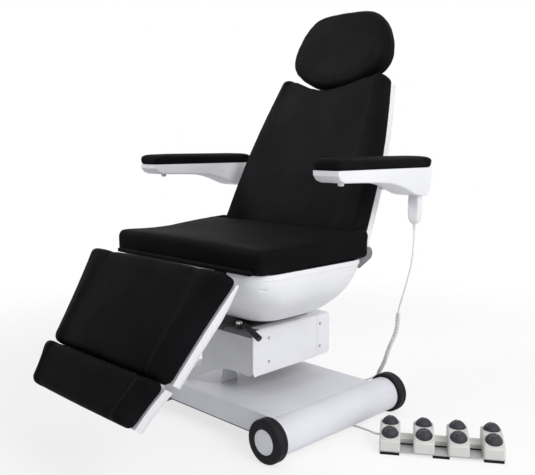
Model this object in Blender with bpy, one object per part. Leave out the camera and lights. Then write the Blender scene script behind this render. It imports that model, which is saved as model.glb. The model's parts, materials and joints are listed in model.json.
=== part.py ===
"""Electric treatment chair on a parallelogram lift, with a handset and a foot control.

Metres, +Z up. The origin is on the floor under the middle of the base. The sitter faces -Y, and +X is
the sitter's left. The chair stands as it is shown: lift down, back raised, leg rest lowered.
"""

from math import atan2, cos, pi, radians, sin, sqrt

import bmesh
import bpy
from mathutils import Matrix, Vector

# Clearances
SEAT_GAP = 0.0003
RUN_GAP = 0.0003
SLIDE_GAP = 0.0005

# Base
TUBE_X = 0.260
TUBE_R = 0.049
TUBE_SIDES = 24
RING_R = 0.058
RING_WIDTH = 0.034
HUB_R = 0.033
RING_Y = 0.254
COVER_TOP = 0.104
COVER_BOTTOM = 0.045
COVER_FOOT_Y = -0.222
COVER_HEAD_Y = 0.185
COVER_LIP = 0.020
COVER_WALL = 0.004
CHASSIS_T = 0.010
GLAND_X = 0.095
GLAND_Z = 0.068
GLAND_R = 0.007
GLAND_LENGTH = 0.016
INLET_X = -0.100

# Lift parallelogram
LIFT_BASE_Y = -0.106
LIFT_HEAD_Y = 0.130
LIFT_UPPER_Z = 0.255
LIFT_LOWER_Z = 0.195
SHAFT_R = 0.009
LINK_X = 0.060
LINK_T = 0.012
LINK_H = 0.020
EAR_HALF = 0.025
HOUSING_X = 0.110
HOUSING_FOOT_Y = -0.162
HOUSING_HEAD_Y = 0.160
HOUSING_SEAM_Y = 0.100
HOUSING_BOTTOM = 0.170
HOUSING_TOP = 0.295
HOUSING_WALL = 0.004
HOUSING_ROUND = 0.010
HOUSING_CORNER = 0.020
COVER_TOP_START = 0.027
ARM_WEB_T = 0.011
LIFT_TUBE_R = 0.0135
LIFT_TUBE_LENGTH = 0.125
SLOT_BOTTOM = 0.225
PEDESTAL_FOOT_X = 0.016
SHROUD_TOP = 0.272
SHROUD_INSET = 0.002
SHROUD_T = 0.003
SHROUD_FLARE_Z = 0.200
SHROUD_RIB = (0.040, 0.185, 0.225)

# Carrier, swivel and tilt
PLATE_X = 0.080
PLATE_FOOT_Y = -0.185
PLATE_HEAD_Y = 0.090
PLATE_T = 0.006
PLATE_LIFT = 0.0015
SWIVEL_Y = -0.030
TURNTABLE_R = 0.075
TURNTABLE_T = 0.007
TILT_Y = 0.010
TILT_Z = 0.352
TILT_PIN_R = 0.008
CLEVIS_X = 0.050
CLEVIS_T = 0.008
LEVER_X = 0.065
LEVER_Y = -0.172
LEVER_REACH = 0.080
LEVER_DROP = 0.024
GRIP_R = 0.0085

# Seat
SEAT_HALF = 0.308
SEAT_FRONT_Y = -0.320
SEAT_REAR_Y = 0.045
SEAT_WING_Y = 0.104
SEAT_BOTTOM = 0.488
SEAT_TOP = 0.556
SEAT_RISE = 0.014
BOARD_T = 0.012
BOARD_FRONT_Y = -0.290
BOARD_REAR_Y = 0.090
PAN_HALF = SEAT_HALF - 0.008
PAN_FRONT_Y = -0.325
PAN_REAR_Y = 0.098
PAN_BOTTOM = 0.3195
PAN_WALL = 0.004
PAN_ROUND = 0.070
PAN_NOTCH_Z = 0.456
FLAP_R = 0.0075
FLAP_HALF = SEAT_HALF - 0.028
ACTUATOR_X = 0.120
ACTUATOR_R = 0.017
ACTUATOR_DROP = 0.040
ACTUATOR_LENGTH = 0.170
MOTOR_HALF = 0.020
MOTOR_LENGTH = 0.070
BACK_ACTUATOR_Y = -0.110
LEG_ACTUATOR_Y = -0.230

# Back
BACK_FOOT = (0.0474, 0.5314)
BACK_TILT = 24.76
BACK_LENGTH = 0.533
BACK_START = 0.015
BACK_HALF_LOW = SEAT_HALF - 0.035
BACK_HALF_HIGH = 0.203
BACK_BULGE = 0.017
BACK_SEAM_X = 0.170
BACK_PAD_T = 0.062
BACK_SHELL_T = 0.036
BACK_SHELL_INSET = 0.007
BACK_DIP = 0.054
BACK_PIVOT = (0.125, 0.495)
BACK_PIN_R = 0.008
BACK_EAR_R = 0.017
BRACKET_X = SEAT_HALF - 0.040
BRACKET_T = 0.008
BRACKET_R = 0.018

# Armrests
ARM_X = SEAT_HALF + 0.052
ARM_HALF = 0.042
ARM_PAD_HALF = 0.045
ARM_FRONT_Y = -0.165
ARM_REAR_Y = 0.242
ARM_PAD_TOP = 0.766
ARM_PAD_T = 0.031
ARM_FRONT_DEPTH = 0.030
ARM_REAR_Z = 0.648
ARM_SHAFT_V = 0.200
ARM_SHAFT_R = 0.011
ARM_SHAFT_END = ARM_X + 0.032
STUD_R = 0.008
STUD_H = 0.010

# Headrest
HEAD_RISE = 0.0831
HEAD_SET = 0.0011
HEAD_TILT = 14.7
HEAD_HALF_LENGTH = 0.121
HEAD_HALF_WIDTH = 0.187
HEAD_T = 0.058
HEAD_TAPER = 0.008
HEAD_PLATE_T = 0.006
HEAD_BAR_X = 0.030
HEAD_BAR_T = 0.015
HEAD_BAR_TOP = BACK_LENGTH + 0.067
HEAD_BAR_LENGTH = 0.350
HEAD_PIN_R = 0.006

# Leg rest and foot rest
LEG_TOP = (-0.4168, 0.5226)
LEG_DROP = 54.6
LEG_LENGTH = 0.282
LEG_HALF_TOP = 0.283
LEG_HALF_LOW = 0.233
LEG_SEAM_X = 0.180
LEG_PAD_T = 0.058
LEG_SHELL_T = 0.032
LEG_START = 0.003
LEG_SHELL_START = 0.014
LEG_PIVOT_BACK = 0.0016
LEG_PIVOT_DEPTH = 0.110
LEG_PIN_R = 0.006
LUG_R = 0.014
LUG_X = 0.140
LUG_T = 0.020
LEG_EAR_T = 0.024
LUG_END = LUG_X + LUG_T + LEG_EAR_T
FOOT_GAP = 0.005
FOOT_LENGTH = 0.114
FOOT_RISE = 0.0148
FOOT_HALF_TOP = 0.237
FOOT_HALF_LOW = 0.2025
ROD_X = 0.100
ROD_DEPTH = 0.067
ROD_R = 0.007
ROD_REACH = 0.190

# Handset and cords
HANDSET_X = ARM_X + 0.010
HANDSET_Y = 0.206
HANDSET_LENGTH = 0.068
HANDSET_WIDTH = 0.038
HANDSET_DEPTH = 0.022
RELIEF_LENGTH = 0.016
CORD_R = 0.0022
CURL_R = 0.0046
CURL_COUNT = 34
PEDAL_CORD_R = 0.0025

# Foot control
PEDAL_MID = (0.5275, 0.1169)
PEDAL_TURN = 34.4
PEDAL_PITCH = 0.087
PEDAL_BOX = (0.053, 0.104)
PEDAL_FRONT_TOP = 0.039
PEDAL_REAR_TOP = 0.057
PEDAL_RIDGE = 0.003
PEDAL_ROUND = 0.004
PEDAL_FOOT_H = 0.006
PEDAL_PLATE_T = 0.004
PEDAL_TIE_H = 0.012
DOME_R = 0.0215
DOME_H = 0.018
DOME_TRAVEL = 0.004
WELL_DEPTH = 0.014
PEDAL_CORD_DEPTH = 0.010

for item in list(bpy.data.objects):
    bpy.data.objects.remove(item, do_unlink=True)


# Finishes


def finish(name, colour, roughness, metallic=0.0):
    paint = bpy.data.materials.new(name)
    paint.use_nodes = True
    shader = paint.node_tree.nodes["Principled BSDF"]
    shader.inputs["Base Color"].default_value = (*colour, 1.0)
    shader.inputs["Roughness"].default_value = roughness
    shader.inputs["Metallic"].default_value = metallic
    return paint


LEATHER = finish("charcoal_leatherette", (0.022, 0.022, 0.025), 0.45)
WHITE = finish("white_moulding", (0.80, 0.80, 0.82), 0.35)
LIFT_WHITE = finish("lift_white", (0.72, 0.72, 0.75), 0.35)
BASE_PAINT = finish("base_paint", (0.62, 0.61, 0.66), 0.40)
RUBBER = finish("black_rubber", (0.012, 0.012, 0.013), 0.70)
STEEL = finish("painted_steel", (0.10, 0.10, 0.11), 0.50, 0.6)
BRIGHT = finish("bright_steel", (0.75, 0.75, 0.76), 0.20, 1.0)
BRACKET_GREY = finish("bracket_grey", (0.42, 0.42, 0.44), 0.45, 0.3)
BLACK_PLASTIC = finish("black_plastic", (0.015, 0.015, 0.016), 0.45)
CORD_WHITE = finish("cord_white", (0.70, 0.70, 0.69), 0.50)
PEDAL_GREY = finish("pedal_grey", (0.60, 0.59, 0.55), 0.45)
DOME_GREY = finish("dome_grey", (0.065, 0.068, 0.078), 0.50)


# Shared modelling tools


def place(name, mesh_data, material, body=None):
    """Turns a bmesh into a named object, carried by the empty of its moving body."""
    bmesh.ops.recalc_face_normals(mesh_data, faces=mesh_data.faces)
    mesh = bpy.data.meshes.new(name)
    mesh_data.to_mesh(mesh)
    mesh_data.free()
    mesh.materials.append(material)
    mesh.shade_smooth()
    mesh.set_sharp_from_angle(angle=radians(35))
    piece = bpy.data.objects.new(name, mesh)
    bpy.context.scene.collection.objects.link(piece)
    return carried(piece, body)


def carried(piece, body):
    if body:
        piece.parent = body
        piece.matrix_parent_inverse = Matrix.Translation(-body.location)
    return piece


def axis_empty(name, point):
    empty = bpy.data.objects.new(name, None)
    empty.location = point
    bpy.context.scene.collection.objects.link(empty)
    return empty


def helper(mesh_data):
    """A hidden solid that a Boolean cuts with or joins."""
    piece = place("helper", mesh_data, STEEL)
    piece.hide_render = True
    piece.display_type = "WIRE"
    return piece


def boolean(piece, operation, solids):
    for solid in solids:
        modifier = piece.modifiers.new(operation.lower(), "BOOLEAN")
        modifier.operation = operation
        modifier.solver = "EXACT"
        modifier.object = solid
    return piece


def cut(piece, *solids):
    return boolean(piece, "DIFFERENCE", solids)


def join(piece, *solids):
    return boolean(piece, "UNION", solids)


def block(low, high, rounding=0.0, segments=2):
    mesh_data = bmesh.new()
    bmesh.ops.create_cube(mesh_data, size=1.0)
    low = Vector(low)
    high = Vector(high)
    size = Matrix.Diagonal((*(high - low), 1.0))
    bmesh.ops.transform(mesh_data, matrix=Matrix.Translation((low + high) / 2) @ size, verts=mesh_data.verts)
    if rounding:
        bmesh.ops.bevel(mesh_data, geom=list(mesh_data.edges), offset=rounding, segments=segments,
                        profile=0.5, affect="EDGES")
    return mesh_data


def bar(start, end, radius, sides=20):
    """A round bar between two points."""
    start = Vector(start)
    end = Vector(end)
    along = end - start
    mesh_data = bmesh.new()
    turn = along.to_track_quat("Z", "Y").to_matrix().to_4x4()
    bmesh.ops.create_cone(mesh_data, cap_ends=True, segments=sides, radius1=radius, radius2=radius,
                          depth=along.length, matrix=Matrix.Translation((start + end) / 2) @ turn)
    return mesh_data


def cross_bar(y, z, x_start, x_end, radius, sides=20):
    return bar((x_start, y, z), (x_end, y, z), radius, sides)


def slab(outline, x_start, x_end):
    """A side outline in Y and Z, extruded across X."""
    mesh_data = bmesh.new()
    face = mesh_data.faces.new([mesh_data.verts.new((x_start, y, z)) for y, z in outline])
    grown = bmesh.ops.extrude_face_region(mesh_data, geom=[face])
    moved = [item for item in grown["geom"] if isinstance(item, bmesh.types.BMVert)]
    bmesh.ops.translate(mesh_data, vec=(x_end - x_start, 0, 0), verts=moved)
    return mesh_data


def eye(centre, radius, *anchors, sides=20):
    """The outline of a lug: a round eye drawn out tightly to its anchor points."""
    points = list(anchors)
    for step in range(sides):
        angle = 2 * pi * step / sides
        points.append((centre[0] + radius * cos(angle), centre[1] + radius * sin(angle)))
    points.sort()
    halves = []
    for run in (points, points[::-1]):
        half = []
        for point in run:
            while len(half) > 1 and crossing(half[-2], half[-1], point) <= 0:
                half.pop()
            half.append(point)
        halves += half[:-1]
    return halves


def crossing(start, middle, end):
    return (middle[0] - start[0]) * (end[1] - start[1]) - (middle[1] - start[1]) * (end[0] - start[0])


def turned(profile, centre, axis, steps):
    """A solid of revolution; the profile lists radius and height along the axis."""
    mesh_data = bmesh.new()
    verts = [mesh_data.verts.new((radius, 0, height)) for radius, height in profile]
    edges = [mesh_data.edges.new(pair) for pair in zip(verts, verts[1:])]
    bmesh.ops.spin(mesh_data, geom=verts + edges, cent=(0, 0, 0), axis=(0, 0, 1), angle=2 * pi,
                   steps=steps, use_merge=True)
    bmesh.ops.remove_doubles(mesh_data, verts=mesh_data.verts, dist=1e-6)
    turn = Vector(axis).to_track_quat("Z", "Y").to_matrix().to_4x4()
    bmesh.ops.transform(mesh_data, matrix=Matrix.Translation(centre) @ turn, verts=mesh_data.verts)
    return mesh_data


def zipped(mesh_data, loop, under):
    """Closes a loop with triangles between its underside, given by vertex count, and its upper side."""
    count = len(loop)
    top = count // 2
    lower = [loop[-index] for index in range(under - 1, 0, -1)] + loop[:under]
    upper = [loop[-index] for index in range(under, top)] + loop[top:under - 1:-1]
    while len(lower) > 1 or len(upper) > 1:
        if len(upper) == 1 or (len(lower) > 1 and lower[1].co.x <= upper[1].co.x):
            mesh_data.faces.new((lower[0], lower[1], upper[0]))
            lower.pop(0)
        else:
            mesh_data.faces.new((lower[0], upper[1], upper[0]))
            upper.pop(0)


def skin(loops, ring=False, under=0):
    """Faces between loops of equal count; the ends are capped, or the last meets the first."""
    mesh_data = bmesh.new()
    rows = [[mesh_data.verts.new(point) for point in loop] for loop in loops]
    pairs = list(zip(rows, rows[1:]))
    if ring:
        pairs.append((rows[-1], rows[0]))
    elif under:
        zipped(mesh_data, rows[0], under)
        zipped(mesh_data, rows[-1], under)
    else:
        mesh_data.faces.new(rows[0])
        mesh_data.faces.new(rows[-1])
    for near, far in pairs:
        for index in range(len(near)):
            follow = (index + 1) % len(near)
            mesh_data.faces.new((near[index], near[follow], far[follow], far[index]))
    return mesh_data


def rounded_loop(half_x, y_low, y_high, rounding, z, steps=5):
    """A rectangle with round corners at height z."""
    rounding = min(rounding, half_x * 0.95, (y_high - y_low) * 0.48)
    points = []
    for sign_x, sign_y, start in ((1, -1, -90), (1, 1, 0), (-1, 1, 90), (-1, -1, 180)):
        centre_x = sign_x * (half_x - rounding)
        centre_y = y_high - rounding if sign_y > 0 else y_low + rounding
        for step in range(steps + 1):
            angle = radians(start + 90 * step / steps)
            points.append((centre_x + rounding * cos(angle), centre_y + rounding * sin(angle), z))
    return points


class SidePlane:
    """A pad's own frame: v runs along it in the YZ plane, and n points out of its upper face."""

    def __init__(self, origin, along, outward):
        self.origin = Vector((0, *origin))
        self.along = Vector((0, *along))
        self.outward = Vector((0, *outward))

    def at(self, x, v, n):
        return self.origin + self.along * v + self.outward * n + Vector((x, 0, 0))

    def side(self, v, n):
        point = self.at(0, v, n)
        return point.y, point.z


back_angle = radians(BACK_TILT)
BACK = SidePlane(BACK_FOOT, (sin(back_angle), cos(back_angle)), (-cos(back_angle), sin(back_angle)))
leg_angle = radians(LEG_DROP)
LEG = SidePlane(LEG_TOP, (-cos(leg_angle), -sin(leg_angle)), (-sin(leg_angle), cos(leg_angle)))
head_angle = radians(HEAD_TILT)
HEAD_MID = BACK.side(BACK_LENGTH + HEAD_RISE, HEAD_SET)
HEAD = SidePlane(HEAD_MID, (sin(head_angle), cos(head_angle)), (-cos(head_angle), sin(head_angle)))
SEAT = SidePlane((SEAT_FRONT_Y, SEAT_BOTTOM), (1, 0), (0, 1))
ARM = SidePlane((ARM_FRONT_Y, ARM_PAD_TOP - ARM_PAD_T), (1, 0), (0, 1))


# Upholstered forms

EDGE_ROUND = 0.016
SIDE_DRAW = 0.004
CROWN = 0.008
SEAM_DEPTH = 0.006
SEAM_HALF = 0.010
BOLSTER_RISE = 0.004
UNDERSIDE_POINTS = 5


def pad_section(half, low, high, crown, seam):
    """Half of a pad's cross section, from the middle of its underside to the middle of its crown.

    The seam is the distance of the bolster's seam from the middle, or nothing for a plain pad."""
    thick = high - low
    edge = min(EDGE_ROUND, thick * 0.4, half * 0.4)
    points = [(0.0, low), (half * 0.6, low), (half - edge * 0.6, low), (half - SIDE_DRAW, low + edge * 0.5),
              (half - SIDE_DRAW, low + thick * 0.45), (half, high - edge), (half - edge * 0.29, high - edge * 0.29),
              (half - edge, high)]
    line = half * 0.66
    if seam:
        line = min(seam, half - edge - SEAM_HALF * 2.6)
        points += [((half - edge + line) / 2, high + BOLSTER_RISE), (line + SEAM_HALF, high),
                   (line, high - SEAM_DEPTH), (line - SEAM_HALF, high)]
    else:
        points += [(half * 0.75, high + crown * 0.35)]
    points += [(line * 0.5, high + crown * 0.75), (0.0, high + crown)]
    return points


def pad_form(stations, crown, seam, bend):
    """A pad lofted through stations of v, half width, underside and top; bend maps each point to space."""
    loops = []
    for v, half, low, high in stations:
        right = pad_section(half, low, high, crown, seam)
        left = [(-x, n) for x, n in reversed(right[1:-1])]
        loops.append([bend(x, v, n) for x, n in right + left])
    return skin(loops, under=UNDERSIDE_POINTS)


def pad_stations(start, end, half_at, low, high_at, count=7, edge=EDGE_ROUND):
    """Full stations between the ends, and three smaller ones that round each end over."""
    shrink = ((0.0, 1.0), (0.10, 0.55), (0.36, 0.20))
    places = [(start + edge * step, drop) for step, drop in shrink]
    for index in range(count):
        share = index / (count - 1)
        places.append((start + edge + (end - start - 2 * edge) * share, 0.0))
    places += [(end - edge * step, drop) for step, drop in reversed(shrink)]
    stations = []
    for v, drop in places:
        high = high_at(v)
        fall = drop * min(edge, (high - low) * 0.4)
        stations.append((v, half_at(v) - fall, low + fall * 0.2, high - fall))
    return stations


def tapered(start, end, half_start, half_end, draw=SIDE_DRAW):
    """Half width along a tapered pad, drawn in a little between its corners."""
    def half_at(v):
        share = min(1.0, max(0.0, (v - start) / (end - start)))
        return half_start + (half_end - half_start) * share - draw * sin(pi * share)
    return half_at


def shell_form(plane, start, end, half_at, low, high, rounding, bend=None, count=6):
    """A moulded tray behind a pad, with its outer edges rounded over."""
    bend = bend or plane.at
    mesh_data = bmesh.new()
    rows = []
    for index in range(count + 1):
        v = start + (end - start) * index / count
        half = half_at(v)
        side = [(half, low + rounding), (half - rounding * 0.3, low + rounding * 0.3), (half - rounding, low),
                (half * 0.5, low)]
        across = [(-x, n) for x, n in side] + [(0.0, low)] + side[::-1]
        under = [mesh_data.verts.new(bend(x, v, n)) for x, n in across]
        upper = [mesh_data.verts.new(bend(x, v, high)) for x, n in across]
        rows.append((under, upper))
    for layer in (0, 1):
        for near, far in zip(rows, rows[1:]):
            for index in range(len(near[0]) - 1):
                mesh_data.faces.new((near[layer][index], near[layer][index + 1], far[layer][index + 1], far[layer][index]))
    for near, far in zip(rows, rows[1:]):
        for index in (0, -1):
            mesh_data.faces.new((near[0][index], near[1][index], far[1][index], far[0][index]))
    for under, upper in (rows[0], rows[-1]):
        for index in range(len(under) - 1):
            mesh_data.faces.new((under[index], under[index + 1], upper[index + 1], upper[index]))
    return mesh_data


# Moving bodies


LEG_PIVOT = LEG.side(-LEG_PIVOT_BACK, -LEG_PIVOT_DEPTH)
ARM_PIVOT = BACK.side(ARM_SHAFT_V, -BACK_PAD_T - BACK_SHELL_T / 2)
HEAD_PIVOT = BACK.side(HEAD_BAR_TOP, -BACK_PAD_T - BACK_SHELL_T / 2)
PLATE_LOW = HOUSING_TOP + PLATE_LIFT
PLATE_HIGH = PLATE_LOW + PLATE_T

lift_arm_body = axis_empty("lift_arm_axis", (0, LIFT_BASE_Y, LIFT_UPPER_Z))
lift_link_body = axis_empty("lift_link_axis", (0, LIFT_BASE_Y, LIFT_LOWER_Z))
carrier_body = axis_empty("carrier_axis", (0, LIFT_HEAD_Y, LIFT_UPPER_Z))
lever_body = axis_empty("lever_axis", (LEVER_X, LEVER_Y, PLATE_HIGH))
swivel_body = axis_empty("swivel_axis", (0, SWIVEL_Y, PLATE_HIGH))
seat_body = axis_empty("tilt_axis", (0, TILT_Y, TILT_Z))
back_body = axis_empty("back_axis", (0, *BACK_PIVOT))
arm_bodies = {"left": axis_empty("arm_left_axis", (ARM_X, *ARM_PIVOT)),
              "right": axis_empty("arm_right_axis", (-ARM_X, *ARM_PIVOT))}
head_slide_body = axis_empty("head_slide_axis", (0, *HEAD_PIVOT))
headrest_body = axis_empty("headrest_axis", (0, *HEAD_PIVOT))
leg_body = axis_empty("leg_axis", (0, *LEG_PIVOT))
foot_body = axis_empty("foot_axis", LEG.at(0, LEG_LENGTH, -LEG_PAD_T))


# Base


def side_tube(name, sign):
    end = RING_Y + RING_WIDTH / 2
    shoulder = RING_Y - RING_WIDTH / 2
    profile = [(0, end), (HUB_R - 0.002, end), (HUB_R, end - 0.002), (HUB_R, shoulder), (TUBE_R, shoulder),
               (TUBE_R, -shoulder), (HUB_R, -shoulder), (HUB_R, 0.002 - end), (HUB_R - 0.002, -end), (0, -end)]
    return place(name, turned(profile, (sign * TUBE_X, 0, RING_R), (0, 1, 0), TUBE_SIDES), BASE_PAINT)


def foot_ring(name, sign_x, sign_y):
    """A rubber ring turned so that it stands on one of its flats."""
    half = RING_WIDTH / 2 - SEAT_GAP
    inner = HUB_R + SEAT_GAP
    soft = 0.006
    profile = [(inner, half), (RING_R - soft, half), (RING_R, half - soft), (RING_R, soft - half),
               (RING_R - soft, -half), (inner, -half), (inner, half)]
    flat = 1 / cos(pi / TUBE_SIDES)
    profile = [(radius * flat, height) for radius, height in profile]
    ring = turned(profile, (0, 0, 0), (0, 1, 0), TUBE_SIDES)
    stand = Matrix.Translation((sign_x * TUBE_X, sign_y * RING_Y, RING_R)) @ Matrix.Rotation(pi / TUBE_SIDES, 4, "Y")
    bmesh.ops.transform(ring, matrix=stand, verts=ring.verts)
    return place(name, ring, RUBBER)


def base_cover():
    edge = TUBE_X - COVER_LIP
    cover = place("base_cover", block((-edge, COVER_FOOT_Y, COVER_BOTTOM), (edge, COVER_HEAD_Y, COVER_TOP)), BASE_PAINT)
    hollow = block((COVER_WALL - edge, COVER_FOOT_Y + COVER_WALL, 0), (edge - COVER_WALL, COVER_HEAD_Y - COVER_WALL,
                   COVER_TOP - COVER_WALL))
    tubes = [bar((sign * TUBE_X, -RING_Y, RING_R), (sign * TUBE_X, RING_Y, RING_R), TUBE_R + SEAT_GAP, TUBE_SIDES)
             for sign in (-1, 1)]
    inlet = block((INLET_X - 0.014, COVER_HEAD_Y - 0.003, GLAND_Z - 0.010),
                  (INLET_X + 0.014, COVER_HEAD_Y + 0.01, GLAND_Z + 0.010))
    gland = bar((GLAND_X, COVER_HEAD_Y - COVER_WALL / 2, GLAND_Z),
                (GLAND_X, COVER_HEAD_Y + GLAND_LENGTH, GLAND_Z), GLAND_R, 16)
    cut(cover, helper(hollow), *[helper(tube) for tube in tubes], helper(inlet))
    return join(cover, helper(gland))


def base_chassis():
    edge = TUBE_X - sqrt(TUBE_R ** 2 - (RING_R - COVER_BOTTOM + CHASSIS_T) ** 2) - SEAT_GAP * 4
    top = COVER_BOTTOM - SEAT_GAP
    plate = place("base_chassis", block((-edge, COVER_FOOT_Y + 0.012, top - CHASSIS_T), (edge, COVER_HEAD_Y - 0.012,
                  top)), STEEL)
    column = block((-LINK_X + 0.010, LIFT_BASE_Y - EAR_HALF, top - CHASSIS_T / 2),
                   (LINK_X - 0.010, LIFT_BASE_Y + EAR_HALF, COVER_TOP - COVER_WALL - SEAT_GAP))
    tube_seats = [block((sign * edge - 0.030, -0.150, top - CHASSIS_T / 2), (sign * edge + 0.030, 0.120, COVER_TOP - 0.03))
                  for sign in (-1, 1)]
    boss = bar((PEDAL_ENTRY[0], PEDAL_ENTRY[1], top - CHASSIS_T / 2), PEDAL_ENTRY, GLAND_R, 16)
    join(plate, helper(column), *[helper(seat) for seat in tube_seats], helper(boss))
    tubes = [bar((sign * TUBE_X, -RING_Y, RING_R), (sign * TUBE_X, RING_Y, RING_R), TUBE_R + SEAT_GAP, TUBE_SIDES)
             for sign in (-1, 1)]
    return cut(plate, *[helper(tube) for tube in tubes])


def lift_pedestal():
    half_x = LINK_X - RUN_GAP * 15
    foot = COVER_TOP + SEAT_GAP
    top = LIFT_UPPER_Z + LINK_H * 0.8
    foot_end = LIFT_BASE_Y - EAR_HALF
    head_end = LIFT_BASE_Y + EAR_HALF
    outline = [(foot_end - 0.006, foot), (head_end + 0.006, foot), (head_end + 0.006, foot + 0.010), (head_end, foot + 0.024)]
    for step in range(7):
        angle = radians(180 * step / 6)
        outline.append((LIFT_BASE_Y + EAR_HALF * cos(angle), top - EAR_HALF + EAR_HALF * sin(angle)))
    outline += [(foot_end, foot + 0.024), (foot_end - 0.006, foot + 0.010)]
    pedestal = place("lift_pedestal", slab(outline, -half_x, half_x), STEEL)
    clear = helper(block((-PEDESTAL_FOOT_X, foot_end - 0.05, foot - 0.05), (half_x + 0.05, head_end + 0.05, HOUSING_BOTTOM)))
    bores = [cross_bar(LIFT_BASE_Y, z, -half_x - 0.01, half_x + 0.01, SHAFT_R + RUN_GAP)
             for z in (LIFT_UPPER_Z, LIFT_LOWER_Z)]
    return cut(pedestal, clear, *[helper(bore) for bore in bores])


def pedestal_shroud():
    """A panel between the lift cover's side walls that sweeps down to one foot on the base, over an open arch."""
    foot = COVER_TOP + SEAT_GAP
    face = HOUSING_FOOT_Y + SHROUD_INSET
    half_x = HOUSING_X - HOUSING_WALL - SLIDE_GAP
    stations = ((-0.155, foot, 0.118, 0.030), (-0.135, foot, 0.140, 0.028), (-half_x, 0.121, 0.158, 0.0225),
                (0.004 - half_x, 0.123, SHROUD_TOP, 0.022), (-0.080, 0.136, SHROUD_TOP, 0.018), (-0.047, 0.152, SHROUD_TOP, 0.012),
                (0.0, 0.163, SHROUD_TOP, 0.006), (0.037, 0.165, SHROUD_TOP, 0.002), (0.080, 0.162, SHROUD_TOP, 0.0),
                (half_x - 0.010, 0.164, SHROUD_TOP, 0.0), (half_x, 0.176, SHROUD_TOP, 0.0))
    loops = []
    for x, low, high, flare in stations:
        front = []
        for step in range(7):
            z = low + (high - low) * (step / 6) ** 1.4
            sweep = max(0.0, (SHROUD_FLARE_Z - z) / (SHROUD_FLARE_Z - foot)) ** 2
            front.append((x, face - flare * sweep, z))
        loops.append(front + [(x, y + SHROUD_T, z) for x, y, z in reversed(front)])
    shroud = place("pedestal_shroud", skin(loops), LIFT_WHITE)
    rib_x, rib_low, rib_high = SHROUD_RIB
    rib = block((-rib_x, face + SHROUD_T / 2, rib_low), (rib_x, LIFT_BASE_Y - EAR_HALF - SEAT_GAP, rib_high))
    return join(shroud, helper(rib))


def lift_shaft(name, z):
    reach = LINK_X + LINK_T + 0.004
    return place(name, cross_bar(LIFT_BASE_Y, z, -reach, reach, SHAFT_R), BRIGHT)


# Lift arm, link and covers


def link_bar(z, sign):
    """One flat bar with round ends, reaching from the base pivot to the carrier pivot."""
    far_end = [(LIFT_HEAD_Y + LINK_H / 2 * cos(angle), z + LINK_H / 2 * sin(angle))
               for angle in (radians(30 * step - 90) for step in range(7))]
    return slab(eye((LIFT_BASE_Y, z), LINK_H / 2, *far_end, sides=12), sign * LINK_X, sign * (LINK_X + LINK_T))


def link_pair(name, z, web_low, web_high, web_t, body, cover_seat=False):
    pair = place(name, block((-LINK_X - 0.002, web_low, z - web_t / 2), (LINK_X + 0.002, web_high, z + web_t / 2)),
                 STEEL, body)
    join(pair, *[helper(link_bar(z, sign)) for sign in (-1, 1)])
    if cover_seat:
        reach = HOUSING_X - HOUSING_WALL - SEAT_GAP
        join(pair, helper(block((-reach, 0.010, z - web_t * 0.45), (reach, 0.034, z + web_t * 0.45))))
    bores = [cross_bar(y, z, -LINK_X - 0.05, LINK_X + 0.05, SHAFT_R + RUN_GAP) for y in (LIFT_BASE_Y, LIFT_HEAD_Y)]
    return cut(pair, *[helper(bore) for bore in bores])


def housing_loop(y, inset=0.0):
    """The housing's outer section at one place along it: upright sides under rounded shoulders."""
    half = HOUSING_X - inset
    top = HOUSING_TOP - inset
    right = [(half, y, HOUSING_BOTTOM - HOUSING_ROUND)]
    for step in range(5):
        angle = radians(90 * step / 4)
        right.append((half - HOUSING_ROUND * (1 - cos(angle)), y, top - HOUSING_ROUND * (1 - sin(angle))))
    return right + [(-x, y, z) for x, y, z in reversed(right)]


def housing_side(corner_y, plain_y):
    """The side outline that trims a housing piece, with its lower corner rounded at one end."""
    inward = 1 if plain_y > corner_y else -1
    outline = [(plain_y, HOUSING_TOP + HOUSING_ROUND), (corner_y, HOUSING_TOP + HOUSING_ROUND)]
    for step in range(6):
        angle = radians(18 * step)
        outline.append((corner_y + inward * HOUSING_CORNER * (1 - cos(angle)),
                        HOUSING_BOTTOM + HOUSING_CORNER * (1 - sin(angle))))
    return helper(slab(outline + [(plain_y, HOUSING_BOTTOM)], -2 * HOUSING_X, 2 * HOUSING_X))


def lift_cover():
    end = HOUSING_SEAM_Y - SEAT_GAP
    wall = HOUSING_WALL
    foot = HOUSING_FOOT_Y - HOUSING_ROUND
    cover = place("lift_cover", skin([housing_loop(foot), housing_loop(end + HOUSING_ROUND)]), LIFT_WHITE, lift_arm_body)
    boolean(cover, "INTERSECT", [housing_side(HOUSING_FOOT_Y, end)])
    hollow = block((wall - HOUSING_X, HOUSING_FOOT_Y - 0.05, HOUSING_BOTTOM - 0.05),
                   (HOUSING_X - wall, HOUSING_SEAM_Y + 0.05, HOUSING_TOP - wall), HOUSING_ROUND - wall, 1)
    foot_mouth = block((wall - HOUSING_X, HOUSING_FOOT_Y - 0.05, HOUSING_BOTTOM - 0.04),
                       (HOUSING_X - wall, LIFT_BASE_Y - COVER_TOP_START, HOUSING_TOP + 0.05))
    return cut(cover, helper(hollow), helper(foot_mouth))


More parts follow.
